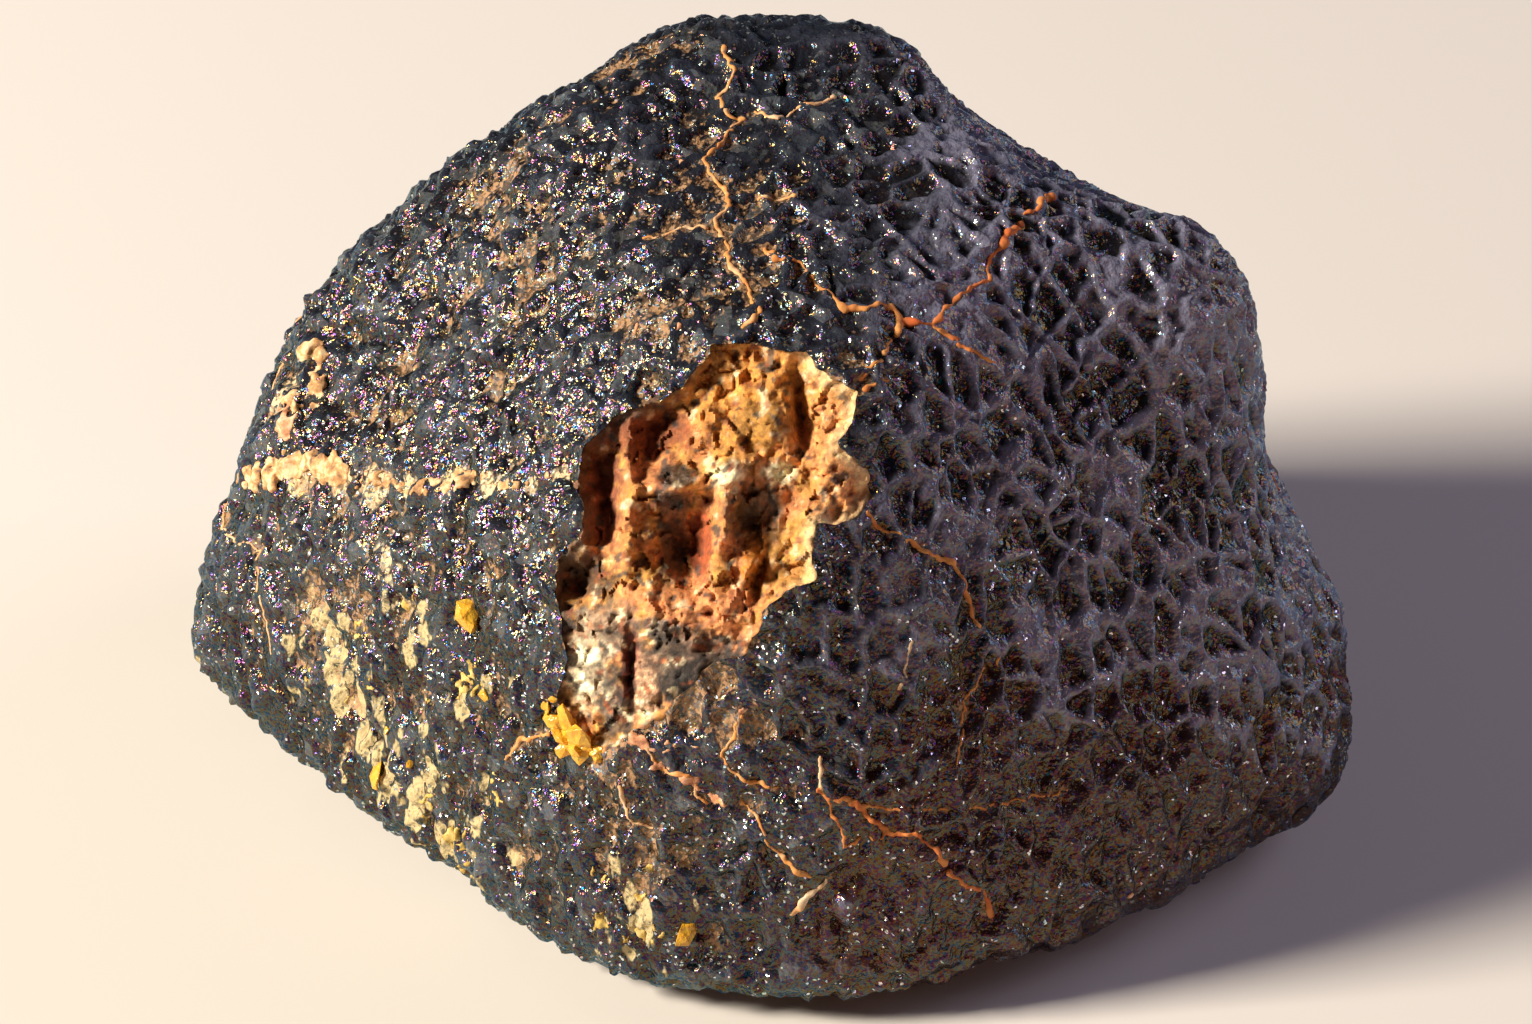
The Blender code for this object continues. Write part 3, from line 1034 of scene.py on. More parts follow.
@dataclass
class ChipMatrix:
    """The broken inside of the stone, as one closed plug behind the chip's rim."""

    outline: ChipOutline
    view: View
    sheet: ThinPlate
    grid: float = 0.075
    tuck: float = 0.55
    rim_drop: float = 0.16
    floor_depth: float = 1.05
    wall_run: float = 0.55
    grain: float = 0.42
    foot: float = 5.6

    FEATURES = {
        "left pocket": Mark(-3.45, 1.0, 0.50, 1.6, 1.2),
        "deep pit": Mark(-0.50, -0.65, 0.75, 1.15, 1.75),
        "upper pocket": Mark(-1.6, 3.3, 0.75, 0.7, 0.9),
        "crystal pocket": Mark(2.1, 0.3, 0.7, 0.9, 0.9),
        "upper slot": Mark(3.5, 3.9, 0.22, 0.95, 1.5, 6.0),
        "gap below the ridge": Mark(2.0, -1.9, 0.18, 0.7, 1.0, -14.0),
        "folded mass": Mark(2.3, 4.2, 0.85, 1.1, -0.75),
        "left bar": Mark(-2.6, 1.4, 0.26, 2.4, -1.1),
        "middle bar": Mark(0.75, -0.1, 0.28, 1.5, -1.2, -8.0),
        "cross bar": Mark(-1.2, 1.3, 1.1, 0.22, -0.8, 6.0),
        "second cross bar": Mark(1.0, 1.9, 0.9, 0.35, -0.7, 10.0),
        "right plateau": Mark(5.0, 2.1, 0.75, 1.6, -1.05),
        "right edge": Mark(4.0, -0.9, 0.35, 1.2, -0.8),
        "amber ridge": Mark(1.85, -1.4, 0.35, 0.9, -0.7, -14.0),
        "lower shelf": Mark(-0.4, -2.8, 1.6, 0.55, -0.95),
        "granular patch": Mark(-3.1, -4.9, 1.5, 2.0, -1.0),
        "granular foot": Mark(-0.6, -5.0, 1.5, 0.9, -1.05),
        "crack": Mark(-2.45, -4.9, 0.16, 1.0, 1.1),
        "left hole": Mark(-4.3, -2.1, 0.35, 0.45, 0.9),
        "shelf hole": Mark(0.32, -3.0, 0.14, 0.13, 0.6),
        "dark clast one": Mark(-0.8, 1.75, 0.45, 0.28, -0.35),
        "dark clast two": Mark(-1.0, 0.8, 0.5, 0.25, -0.3),
        "clast on the shelf": Mark(-1.3, -3.5, 0.6, 0.2, -0.25),
    }
    RINGS = {
        "top ring": (1.75, 5.1, 0.42), "ring beside it": (2.25, 5.95, 0.4),
        "small ring": (0.25, 3.8, 0.28), "ring below": (-0.2, 2.95, 0.22),
    }
    WASHES = (
        ("ochre", "#c98a3c", Mark(1.6, 4.2, 1.9, 1.8, 1.0)),
        ("tawny folds", "#a8772c", Mark(2.2, 3.6, 0.8, 0.9, 0.9)),
        ("red brown pockets", "#854526", Mark(-2.0, 3.3, 1.5, 0.75, 1.0)),
        # Painted shadow: the reddish-brown wash in the left pocket stands for the rim's shadow cast
        # into it.
        ("left pocket", "#8a4a30", Mark(-3.5, 1.0, 0.55, 1.7, 1.1)),
        ("grey brown crystals", "#6b5238", Mark(1.9, 0.5, 0.8, 1.0, 0.9)),
        ("cream spots", "#f2dfb4", Mark(1.0, 1.8, 0.5, 0.4, 1.0)),
        ("cream spot right", "#f2dfb4", Mark(2.7, 1.8, 0.5, 0.35, 1.0)),
        ("peach plateau", "#e39a5a", Mark(4.8, 2.2, 0.9, 2.0, 0.9)),
        ("red rim", "#b5502c", Mark(5.8, 1.2, 0.35, 0.7, 0.8)),
        ("pit wall right", "#a8481c", Mark(0.05, -0.6, 0.3, 1.1, 1.2)),
        # Painted shade: the pit's left wall, which faces away from the key light, is washed dark
        # grey-brown.
        ("pit wall left in painted shade", "#5a4c3c", Mark(-1.0, -0.7, 0.4, 1.2, 1.1)),
        ("amber ridge", "#c07a2c", Mark(1.9, -1.4, 0.45, 0.9, 0.9)),
        ("peach shelf", "#dd9058", Mark(-0.3, -2.8, 1.7, 0.6, 1.1)),
        # Painted shade: a dark brown wash over the left hole.
        ("left hole in painted shade", "#40281a", Mark(-4.1, -1.9, 0.9, 0.8, 1.0)),
        ("granular grey", "#4c453f", Mark(-0.6, -5.0, 1.8, 1.1, 1.2)),
        ("granular left", "#7d6b58", Mark(-3.3, -3.6, 1.2, 0.8, 0.9)),
        ("white fibres", "#dccaa6", Mark(-4.0, -5.2, 0.6, 1.1, 1.1)),
        ("dark granules", "#38332f", Mark(-2.9, -6.3, 0.6, 1.0, 1.0)),
        ("black granules", "#262423", Mark(-0.2, -5.6, 1.3, 0.7, 1.0)),
        ("crack", "#561f12", Mark(-2.45, -4.9, 0.25, 1.0, 1.3)),
        ("pale crack side", "#e7b48c", Mark(-1.9, -6.0, 0.35, 1.2, 0.9)),
        ("clast", "#37332f", Mark(-0.8, 1.75, 0.55, 0.33, 1.2)),
        ("clast below", "#3c3833", Mark(-1.0, 0.85, 0.6, 0.3, 1.1)),
        ("clast on the shelf", "#4a423b", Mark(-1.3, -3.5, 0.65, 0.25, 1.1)),
    )

    def build(self) -> bpy.types.Object:
        """Model the plug.

        Returns:
            The plug, still in millimetres, with its tint and gloss fields.
        """
        low = self.outline.points.min(axis=0) - 1.0
        high = self.outline.points.max(axis=0) + 1.0
        steps = [int(math.ceil(side / self.grid)) for side in high - low]
        bpy.ops.object.select_all(action="DESELECT")
        bpy.ops.mesh.primitive_grid_add(x_subdivisions=steps[0], y_subdivisions=steps[1], size=2.0)
        plug = bpy.context.object
        flat = places(plug)
        u = (flat[:, 0] + 1) / 2 * (high[0] - low[0]) + low[0]
        v = (flat[:, 1] + 1) / 2 * (high[1] - low[1]) + low[1]
        gaps = self.outline.gap(u, v)
        set_places(plug, np.column_stack((u, v, gaps)))
        select_only(plug)
        keep = gaps > -self.tuck
        bm = bmesh.new()
        bm.from_mesh(plug.data)
        bm.verts.ensure_lookup_table()
        bmesh.ops.delete(bm, geom=[vert for vert, kept in zip(bm.verts, keep) if not kept],
                         context="VERTS")
        bm.to_mesh(plug.data)
        bm.free()
        flat = places(plug)
        u, v, gaps = flat[:, 0], flat[:, 1], flat[:, 2]
        depth = self._depth(u, v, gaps)
        top = self.sheet(np.column_stack((u, v)))
        set_places(plug, self.outline.to_stone(np.column_stack((u, v, top - depth)), self.view))
        colours, gloss = self._colours(u, v, gaps, depth)
        add_colours(plug, "tint", colours)
        add_field(plug, "gloss", gloss)
        bpy.ops.object.mode_set(mode="EDIT")
        bpy.ops.mesh.select_mode(type="EDGE")
        bpy.ops.mesh.select_all(action="DESELECT")
        bpy.ops.mesh.select_non_manifold()
        bpy.ops.mesh.extrude_edges_move(
            TRANSFORM_OT_translate={"value": -self.view.back * self.foot})
        bpy.ops.mesh.edge_face_add()
        bpy.ops.mesh.select_all(action="SELECT")
        bpy.ops.mesh.normals_make_consistent(inside=False)
        bpy.ops.object.mode_set(mode="OBJECT")
        bpy.ops.object.shade_smooth_by_angle(angle=math.radians(60))
        return plug

    def _depth(self, u: np.ndarray, v: np.ndarray, gaps: np.ndarray) -> np.ndarray:
        """How far the broken face lies below the crust's own level at each place."""
        spots = np.column_stack((u, v, np.zeros(len(u))))
        depth = np.full(len(u), self.floor_depth)
        for mark in self.FEATURES.values():
            depth += mark.depth * mark.weight(u, v)
        for cu, cv, radius in self.RINGS.values():
            away = np.hypot(u - cu, v - cv)
            depth -= 0.22 * np.exp(-((away - radius) / 0.09) ** 2)
            depth += 0.18 * np.exp(-(away / (radius * 0.6)) ** 2)
        folded = Mark(2.2, 3.9, 0.9, 1.0, 1.0).weight(u, v)
        wave = np.sin(5.2 * np.hypot(u - 3.4, v - 3.2) + 2.4 * noise_of(spots, 0.9, 3.0))
        depth += 0.12 * folded * wave
        rise, _ = self._grains(u, v)
        depth += 0.30 * noise_of(spots, 1.3, 1.0, 4) + rise * (1.0 - 0.7 * folded)
        depth += 0.12 * noise_of(spots, 0.30, 2.0, 3)
        run = self.wall_run * (1.0 + 0.8 * noise_of(spots, 1.1, 5.0, 2))
        share = np.clip(gaps / np.maximum(run, 0.12), 0.0, 1.0)
        near_rim = self.rim_drop + 0.16 * noise_of(spots, 0.45, 4.0, 3)
        depth = near_rim + (depth - near_rim) * share
        return np.where(gaps < 0, np.maximum(near_rim, 0.05) - gaps * 0.8, np.maximum(depth, 0.08))

    def _grains(self, u: np.ndarray, v: np.ndarray) -> tuple[np.ndarray, np.ndarray]:
        """Tilted flat grains, as broken crystals leave: each place's rise and lightness."""
        rng = np.random.default_rng(11)
        count = int(13 * 16 / self.grain ** 2)
        seeds = np.column_stack((rng.uniform(-6.5, 7.0, count), rng.uniform(-9.0, 7.5, count)))
        tilt = rng.normal(0.0, 0.30, (count, 2))
        rise = rng.normal(0.0, 0.11, count)
        tree = tree_of([(seed[0], seed[1], 0.0) for seed in seeds])
        spots = np.column_stack((u, v, np.zeros(len(u))))
        bent = spots + 0.22 * np.column_stack(
            (noise_of(spots, 0.4, 6.0), noise_of(spots, 0.4, 7.0), np.zeros(len(u))))
        near = np.array([tree.find(spot)[1] for spot in bent])
        away = np.column_stack((u, v)) - seeds[near]
        lightness = rng.uniform(-1.0, 1.0, count)
        return rise[near] + np.einsum("ij,ij->i", away, tilt[near]), lightness[near]

    def _colours(self, u: np.ndarray, v: np.ndarray, gaps: np.ndarray,
                 depth: np.ndarray) -> tuple[np.ndarray, np.ndarray]:
        """The tint and gloss of each place: a peach and ochre ground under the named washes, with
        painted shade in the pockets, on a pit wall and in the deepest parts, and painted shadow and
        light at the rim.
        """
        spots = np.column_stack((u, v, np.zeros(len(u))))
        part = smoothstep(-0.5, 0.5, noise_of(spots, 1.0, 8.0, 3))[:, None]
        peach, ochre = np.array(linear("#d98d54")), np.array(linear("#bf8a3e"))
        colours = peach + (ochre - peach) * part
        ragged = 0.55 * noise_of(spots, 0.35, 9.0, 3)
        gloss = np.zeros(len(u))
        for name, colour, mark in self.WASHES:
            weight = smoothstep(0.25, 0.75, mark.depth * mark.weight(u, v) + ragged * 0.6)
            colours = colours + (np.array(linear(colour)) - colours) * weight[:, None] * 0.9
            if "clast" in name or "crystal" in name or "amber" in name:
                gloss = np.maximum(gloss, weight)
        cream = np.array(linear("#f0dcb2"))
        crest = smoothstep(0.30, 0.65, noise_of(spots, 0.5, 10.0, 3)) * smoothstep(1.5, 0.8, depth)
        colours = colours + (cream - colours) * crest[:, None] * 0.75
        for seed, colour, low in ((12.0, "#45403a", 0.42), (13.0, "#8a4a26", 0.40)):
            speck = smoothstep(low, low + 0.14, noise_of(spots, 0.42, seed, 2))
            colours = colours + (np.array(linear(colour)) - colours) * speck[:, None] * 0.85
        # Painted shadow and light at the rim: a dark strip inside the left rim, where the rim's
        # shadow falls, and a pale strip inside the right rim, where light falls.
        for colour, side in (("#3a2c24", smoothstep(-1.0, -3.4, u - 0.35 * v)),
                             ("#f0c890", smoothstep(2.6, 4.0, u))):
            rim_shadow_and_light = smoothstep(0.55, 0.10, gaps + 0.3 * ragged) * side
            colours = colours + (np.array(linear(colour)) - colours) * rim_shadow_and_light[:, None] * 0.8
        _, lightness = self._grains(u, v)
        salty = np.maximum(Mark(-0.6, -5.0, 1.7, 1.1, 1.0).weight(u, v),
                           Mark(-3.2, -5.6, 1.5, 1.9, 1.0).weight(u, v))
        crumbs = 1.6 * noise_of(spots, 0.22, 14.0, 2)
        uneven = lightness * (0.16 + 0.5 * salty) + crumbs * (0.2 + 0.7 * salty)
        colours = np.minimum(colours * np.exp(uneven)[:, None], 0.85)
        # Painted shade: the deepest parts are darkened by up to a quarter.
        deep = smoothstep(1.4, 2.8, depth)[:, None]
        colours = colours * (1 - 0.25 * deep)
        colours[:, 3] = 1.0
        return colours, gloss


@dataclass(frozen=True)
class Deposit:
    """One patch of lime on the stone: its pixel, half sizes and lean, and its thickness."""

    px: float
    py: float
    half_x: float
    half_y: float
    turn: float = 0.0
    thickness: float = 0.14


@dataclass
class LimeCrust:
    """Lime of one colour on the stone: lumpy patches grown from many small flattened grains."""

    name: str
    tint: Tint
    patches: dict[str, Deposit]
    skin: Skin
    seed: int
    voxel: float = 0.075
    flatten: float = 0.38
    grain_area: float = 0.030
    least_radius: float = 0.07

    def build(self) -> bpy.types.Object:
        """Grow the patches and fuse them.

        Returns:
            The lime, dressed and riding on the stone.
        """
        rng = random.Random(self.seed)
        grains: list[tuple[Vector, Vector, float]] = []
        for patch in self.patches.values():
            grains += self._scatter(patch, rng)
        thing = fuse_grains(grains, self.name, self.voxel, self.flatten)
        return finished(thing, self.name, LimeFinish(self.tint).build())

    def _scatter(self, patch: Deposit, rng: random.Random) -> list[tuple[Vector, Vector, float]]:
        """Grains of one patch: place, normal and radius."""
        area = math.pi * patch.half_x * patch.half_y * PIXEL ** 2
        count = max(5, int(area / self.grain_area))
        cos, sin = math.cos(math.radians(patch.turn)), math.sin(math.radians(patch.turn))
        grains = []
        for _ in range(count):
            reach = math.sqrt(rng.random()) * rng.choice((1.0, 1.0, 1.0, 1.25))
            angle = rng.uniform(0, math.tau)
            x, y = reach * math.cos(angle) * patch.half_x, reach * math.sin(angle) * patch.half_y
            hit = self.skin.at_pixel(patch.px + x * cos - y * sin, patch.py + x * sin + y * cos)
            if hit is None:
                continue
            radius = rng.uniform(0.55, 1.5) * patch.thickness * (1.15 - 0.5 * reach)
            grains.append((hit[0], hit[1], max(radius, self.least_radius)))
        return grains


def fuse_grains(grains: list[tuple[Vector, Vector, float]], name: str, voxel: float,
                flatten: float) -> bpy.types.Object:
    """Make one closed lumpy mesh from many small balls pressed flat on a surface.

    Args:
        grains: the place, the surface normal and the radius of each ball.
        name: the mesh's name.
        voxel: the size of the steps that the balls are fused in.
        flatten: how much lower than wide each ball is.

    Returns:
        The fused mesh.
    """
    bpy.ops.object.select_all(action="DESELECT")
    bpy.ops.mesh.primitive_ico_sphere_add(subdivisions=2, radius=1.0)
    ball = bpy.context.object
    shape = places(ball)
    faces = [tuple(p.vertices) for p in ball.data.polygons]
    bpy.data.objects.remove(ball)
    spots, joined = [], []
    for place, normal, radius in grains:
        turn = np.array(normal.to_track_quat("Z", "X").to_matrix())
        start = len(spots) * len(shape)
        spots.append((shape * (radius, radius, radius * flatten)) @ turn.T + np.array(place))
        joined += [tuple(i + start for i in face) for face in faces]
    mesh = bpy.data.meshes.new(name)
    mesh.from_pydata(np.concatenate(spots).tolist(), [], joined)
    thing = bpy.data.objects.new(name, mesh)
    bpy.context.scene.collection.objects.link(thing)
    apply_modifier(thing, "REMESH", mode="VOXEL", voxel_size=voxel, use_smooth_shade=True)
    apply_modifier(thing, "SMOOTH", factor=0.5, iterations=2)
    return thing


@dataclass(frozen=True)
class Crack:
    """A hairline crack: its route, half its width in pixels, and how rusty it is.

    The route is in pixels, or for a crack out of the picture's sight (unseen) in azimuths in
    degrees and heights in millimetres.
    """

    route: tuple[tuple[float, float], ...]
    half_width: float = 2.2
    warmth: float = 0.35
    unseen: bool = False


@dataclass
class OxideVeins:
    """The cracks' filling: a thin uneven bead along each route, broken here and there."""

    skin: Skin
    cracks: dict[str, Crack]
    step: float = 0.06
    voxel: float = 0.052
    flatten: float = 0.70
    wander: float = 0.16
    swing: float = 0.9
    lumps: float = 0.8
    gap_radius: float = 0.025
    least_radius: float = 0.075
    seed: int = 8  # without one, Blender draws the vector noise's offsets from the clock
    grains: list[tuple[Vector, Vector, float]] = field(default_factory=list)

    def build(self) -> bpy.types.Object:
        """Lay the beads and fuse them.

        Returns:
            The veins, dressed and riding on the stone.
        """
        noise.seed_set(self.seed)
        grains, warmths = self.grains, []
        for number, crack in enumerate(self.cracks.values()):
            beads = self._beads(crack, number)
            grains += beads
            warmths += [crack.warmth] * len(beads)
        thing = fuse_grains(grains, "oxide_veins", self.voxel, self.flatten)
        tree = tree_of([grain[0] for grain in grains])
        near = [tree.find(Vector(spot))[1] for spot in places(thing)]
        add_field(thing, "warmth", np.array([warmths[i] for i in near]))
        return finished(thing, "oxide_veins", OxideFinish().build())

    def _beads(self, crack: Crack, number: int) -> list[tuple[Vector, Vector, float]]:
        """The beads along one crack."""
        find = self.skin.at_angle if crack.unseen else self.skin.at_pixel
        hits = [find(*spot) for spot in crack.route]
        line = [hit[0] for hit in hits if hit is not None]
        grains = []
        travelled = 0.0
        for start, end in zip(line, line[1:]):
            run = end - start
            for i in range(max(1, round(run.length / self.step))):
                spot = start + run * (i * self.step / run.length)
                probe = spot * 0.9 + Vector((0, 0, number * 7.0))
                spot = spot + noise.noise_vector(probe * 1.6) * self.wander
                spot = spot + noise.noise_vector(probe * 6.0) * (self.wander / 2)
                place, normal = self.skin.nearest(spot)
                travelled += self.step
                swing = self.swing * noise.noise(Vector((travelled * 0.9, number * 3.1, 0.0)))
                lump = self.lumps * noise.noise(Vector((travelled * 4.0, number * 5.7, 3.0)))
                radius = crack.half_width * PIXEL * (1.0 + swing + lump)
                if radius > self.gap_radius:
                    grains.append((place, normal, max(radius, self.least_radius)))
        return grains


@dataclass(frozen=True)
class Shard:
    """One golden crystal: its pixel, its length and width in pixels and its lean in degrees."""

    px: float
    py: float
    length: float
    width: float
    turn: float = 0.0


@dataclass
class GoldenCrystals:
    """Small broken crystals with flat faces, set in the crust."""

    skin: Skin
    shards: dict[str, Shard]
    vein: tuple[tuple[float, float], tuple[float, float], int, float]
    cuts: int = 9
    height: float = 0.55
    bevel: float = 0.02

    def build(self) -> bpy.types.Object:
        """Model each crystal and join them.

        Returns:
            The crystals, dressed and riding on the stone.
        """
        shards = [*self._in_vein(), *self.shards.values()]
        made = [self._crystal(shard, number) for number, shard in enumerate(shards)]
        select_only(made[0])
        for thing in made[1:]:
            thing.select_set(True)
        bpy.ops.object.join()
        return finished(bpy.context.object, "golden_crystals", AmberFinish().build())

    def _in_vein(self) -> list[Shard]:
        """Crystals crowded along the vein below the chip, largest in its middle."""
        (x0, y0), (x1, y1), count, spread = self.vein
        rng = random.Random(9)
        shards = []
        for i in range(count):
            part = (i + rng.random()) / count
            swell = 0.45 + 0.55 * math.sin(math.pi * part)
            side = rng.uniform(-spread, spread) * swell
            size = rng.uniform(26, 50) * swell
            px = x0 + (x1 - x0) * part + side * 0.7
            py = y0 + (y1 - y0) * part - side * 0.7
            shards.append(Shard(px, py, size, size * rng.uniform(0.55, 0.9), rng.uniform(0, 180)))
        return shards

    def _crystal(self, shard: Shard, number: int) -> bpy.types.Object:
        """One crystal: a lump cut to a few flat faces, with softened edges."""
        rng = random.Random(40 + number)
        place, normal = self.skin.at_pixel(shard.px, shard.py)
        bpy.ops.object.select_all(action="DESELECT")
        bpy.ops.mesh.primitive_ico_sphere_add(subdivisions=1, radius=1.15)
        thing = bpy.context.object
        shape = places(thing)
        for _ in range(self.cuts):
            way = np.array([rng.gauss(0, 1) for _ in range(3)])
            way /= np.linalg.norm(way)
            over = shape @ way - rng.uniform(0.35, 0.75)
            shape -= np.maximum(over, 0.0)[:, None] * way
        rise = min(shard.width, shard.length) * self.height
        shape = shape * (shard.width, shard.length, rise) * PIXEL / 2
        facing = normal.to_track_quat("Z", "Y").to_matrix()
        spun = facing @ Matrix.Rotation(math.radians(shard.turn), 3, "Z")
        middle = np.array(place + normal * (rise * PIXEL / 6))
        set_places(thing, shape @ np.array(spun).T + middle)
        select_only(thing)
        bpy.ops.object.mode_set(mode="EDIT")
        bpy.ops.mesh.select_all(action="SELECT")
        bpy.ops.mesh.remove_doubles(threshold=0.01)
        bpy.ops.mesh.convex_hull()
        bpy.ops.mesh.dissolve_limited(angle_limit=math.radians(4))
        bpy.ops.object.mode_set(mode="OBJECT")
        apply_modifier(thing, "BEVEL", width=self.bevel, segments=2, limit_method="ANGLE")
        return thing


@dataclass(frozen=True)
class Stain:
    """A soft stain on the crust: its place, its radius in millimetres and its strength.

    The place is a pixel, or out of the picture's sight (unseen) an azimuth in degrees and a height.
    """

    px: float
    py: float
    radius: float
    strength: float
    unseen: bool = False


@dataclass
class CrustStains:
    """Where dust, lime and rust have stained the crust, with painted warm bounce light added to the
    rust low in the shade on the right, as fields that its finish reads.
    """

    skin: Skin
    stains: dict[str, tuple[Stain, ...]]
    lines: list[Vector]
    low_rust_and_bounce: float = 0.85
    foot_lime: float = 0.40
    all_dust: float = 0.05
    windward_dust: float = 0.06
    line_dust: float = 0.42
    line_reach: float = 0.22

    def apply(self, crust: bpy.types.Object) -> None:
        """Store the fields on the crust.

        Args:
            crust: the crust, in millimetres.
        """
        spots = places(crust)
        for name, stains in self.stains.items():
            total = np.zeros(len(spots))
            for stain in stains:
                find = self.skin.at_angle if stain.unseen else self.skin.at_pixel
                hit = find(stain.px, stain.py)
                if hit is None:
                    continue
                away = np.linalg.norm(spots - np.array(hit[0]), axis=1)
                total += stain.strength * np.exp(-((away / stain.radius) ** 2))
            # Painted warm bounce light together with rust: the stain field grows low down on the
            # shaded right.
            if name == "stain":
                low = smoothstep(15.0, 2.0, spots[:, 2]) * smoothstep(-6.0, 9.0, spots[:, 0])
                total += self.low_rust_and_bounce * low
            if name == "cream":
                total += self.foot_lime * smoothstep(2.2, 0.2, spots[:, 2])
            if name == "dust":
                windward = smoothstep(6.0, -6.0, spots[:, 0])
                total += self.all_dust + self.windward_dust * windward
                total += self.line_dust * self._beside_lines(spots)
            add_field(crust, name, np.clip(total, 0.0, 1.2))

    def _beside_lines(self, spots: np.ndarray) -> np.ndarray:
        """How close each place is to a crack or the chip, 1 on it and 0 well away."""
        tree = tree_of(self.lines)
        away = np.array([tree.find(Vector(spot))[2] for spot in spots])
        return np.exp(-((away / self.line_reach) ** 2))


@dataclass(frozen=True)
class Lamp:
    """One soft light: where it stands as seen from the stone, its size, power and colour."""

    azimuth: float
    elevation: float
    distance: float
    size: float
    power: float
    colour: str


@dataclass(frozen=True)
class Studio:
    """A pale floor and soft lights: a warm key low from the left, and cool skylight."""

    floor_colour: str = "#d9d5cf"
    sky: str = "#8b93a8"
    sky_strength: float = 0.10
    floor_size: float = 3.0

    LAMPS = {
        "key": Lamp(193, 29, 0.55, 0.12, 7.4, "#fff3e2"),
        "sky fill": Lamp(20, 24, 0.60, 0.40, 2.3, "#bcb6cf"),
        "warm fill": Lamp(300, 12, 0.60, 0.30, 0.35, "#ffb08a"),
    }

    def build(self) -> None:
        """Add the floor, the lights and the sky."""
        bpy.ops.object.select_all(action="DESELECT")
        bpy.ops.mesh.primitive_plane_add(size=self.floor_size)
        floor = bpy.context.object
        floor.name = "floor"
        floor.data.materials.append(self._paper())
        for name, lamp in self.LAMPS.items():
            self._add_lamp(name, lamp)
        world = bpy.data.worlds.new("studio")
        world.use_nodes = True
        ground = world.node_tree.nodes["Background"]
        ground.inputs["Color"].default_value = linear(self.sky)
        ground.inputs["Strength"].default_value = self.sky_strength
        bpy.context.scene.world = world
        bpy.context.scene.view_settings.view_transform = "Standard"

    def _paper(self) -> bpy.types.Material:
        """Matt studio paper."""
        material = bpy.data.materials.new("studio_paper")
        material.use_nodes = True
        surface = material.node_tree.nodes["Principled BSDF"]
        surface.inputs["Base Color"].default_value = linear(self.floor_colour)
        surface.inputs["Roughness"].default_value = 0.95
        return material

    @staticmethod
    def _add_lamp(name: str, lamp: Lamp) -> None:
        """Add one square area light that points at the stone."""
        data = bpy.data.lights.new(name, "AREA")
        data.size = lamp.size
        data.energy = lamp.power
        data.color = linear(lamp.colour)[:3]
        thing = bpy.data.objects.new(name, data)
        bpy.context.scene.collection.objects.link(thing)
        azimuth, elevation = math.radians(lamp.azimuth), math.radians(lamp.elevation)
        way = Vector((math.cos(azimuth) * math.cos(elevation),
                      math.sin(azimuth) * math.cos(elevation), math.sin(elevation)))
        thing.location = way * lamp.distance + Vector((0, 0, 0.012))
        thing.rotation_euler = way.to_track_quat("Z", "Y").to_euler()


SEAM = {
    "left lump": Deposit(262, 478, 22, 13, 0, 0.24),
    "second lump": Deposit(300, 466, 26, 13, 0, 0.26),
    "third lump": Deposit(330, 472, 18, 16, 0, 0.26),
    "run one": Deposit(372, 480, 30, 8, 4, 0.16),
    "run two": Deposit(420, 486, 26, 9, 0, 0.17),
    "run three": Deposit(462, 480, 24, 10, -8, 0.17),
    "run four": Deposit(508, 484, 26, 6, 4, 0.14),
    "run five": Deposit(552, 474, 28, 4, -12, 0.12),
    "shoulder lump": Deposit(312, 352, 14, 12, 0, 0.26),
    "shoulder drip": Deposit(318, 385, 8, 22, 0, 0.20),
    "shoulder edge": Deposit(294, 400, 12, 12, 0, 0.2),
}
SEAM_PEACH = {
    "pink patch": Deposit(284, 420, 13, 22, 0, 0.18),
    "chip corner": Deposit(592, 470, 14, 5, -20, 0.12),
    "below the chip": Deposit(640, 742, 22, 7, 20, 0.15),
    "run below": Deposit(690, 782, 26, 6, 15, 0.13),
    "sill one": Deposit(618, 735, 9, 12, 0, 0.14), "sill two": Deposit(655, 765, 14, 7, 25, 0.14),
    "sill three": Deposit(715, 800, 16, 5, 20, 0.12), "sill four": Deposit(668, 748, 8, 8, 0, 0.12),
    "sill five": Deposit(742, 712, 9, 7, 0, 0.11), "sill six": Deposit(700, 742, 12, 6, -30, 0.11),
    "dot one": Deposit(483, 219, 6, 5, 0, 0.11), "dot two": Deposit(492, 231, 5, 5, 0, 0.10),
    "dot three": Deposit(513, 175, 6, 4, 0, 0.11), "dot four": Deposit(680, 160, 6, 4, 0, 0.10),
    "dot five": Deposit(635, 327, 8, 6, 0, 0.12), "dot six": Deposit(685, 325, 9, 6, 0, 0.13),
    "dot seven": Deposit(455, 300, 4, 6, 0, 0.09), "dot eight": Deposit(725, 232, 6, 4, 0, 0.10),
    "dot nine": Deposit(775, 254, 8, 5, 0, 0.11), "dot ten": Deposit(612, 402, 5, 5, 0, 0.10),
    "foot one": Deposit(1130, 897, 10, 4, -15, 0.10),
    "foot two": Deposit(1165, 884, 8, 3, -15, 0.09),
}
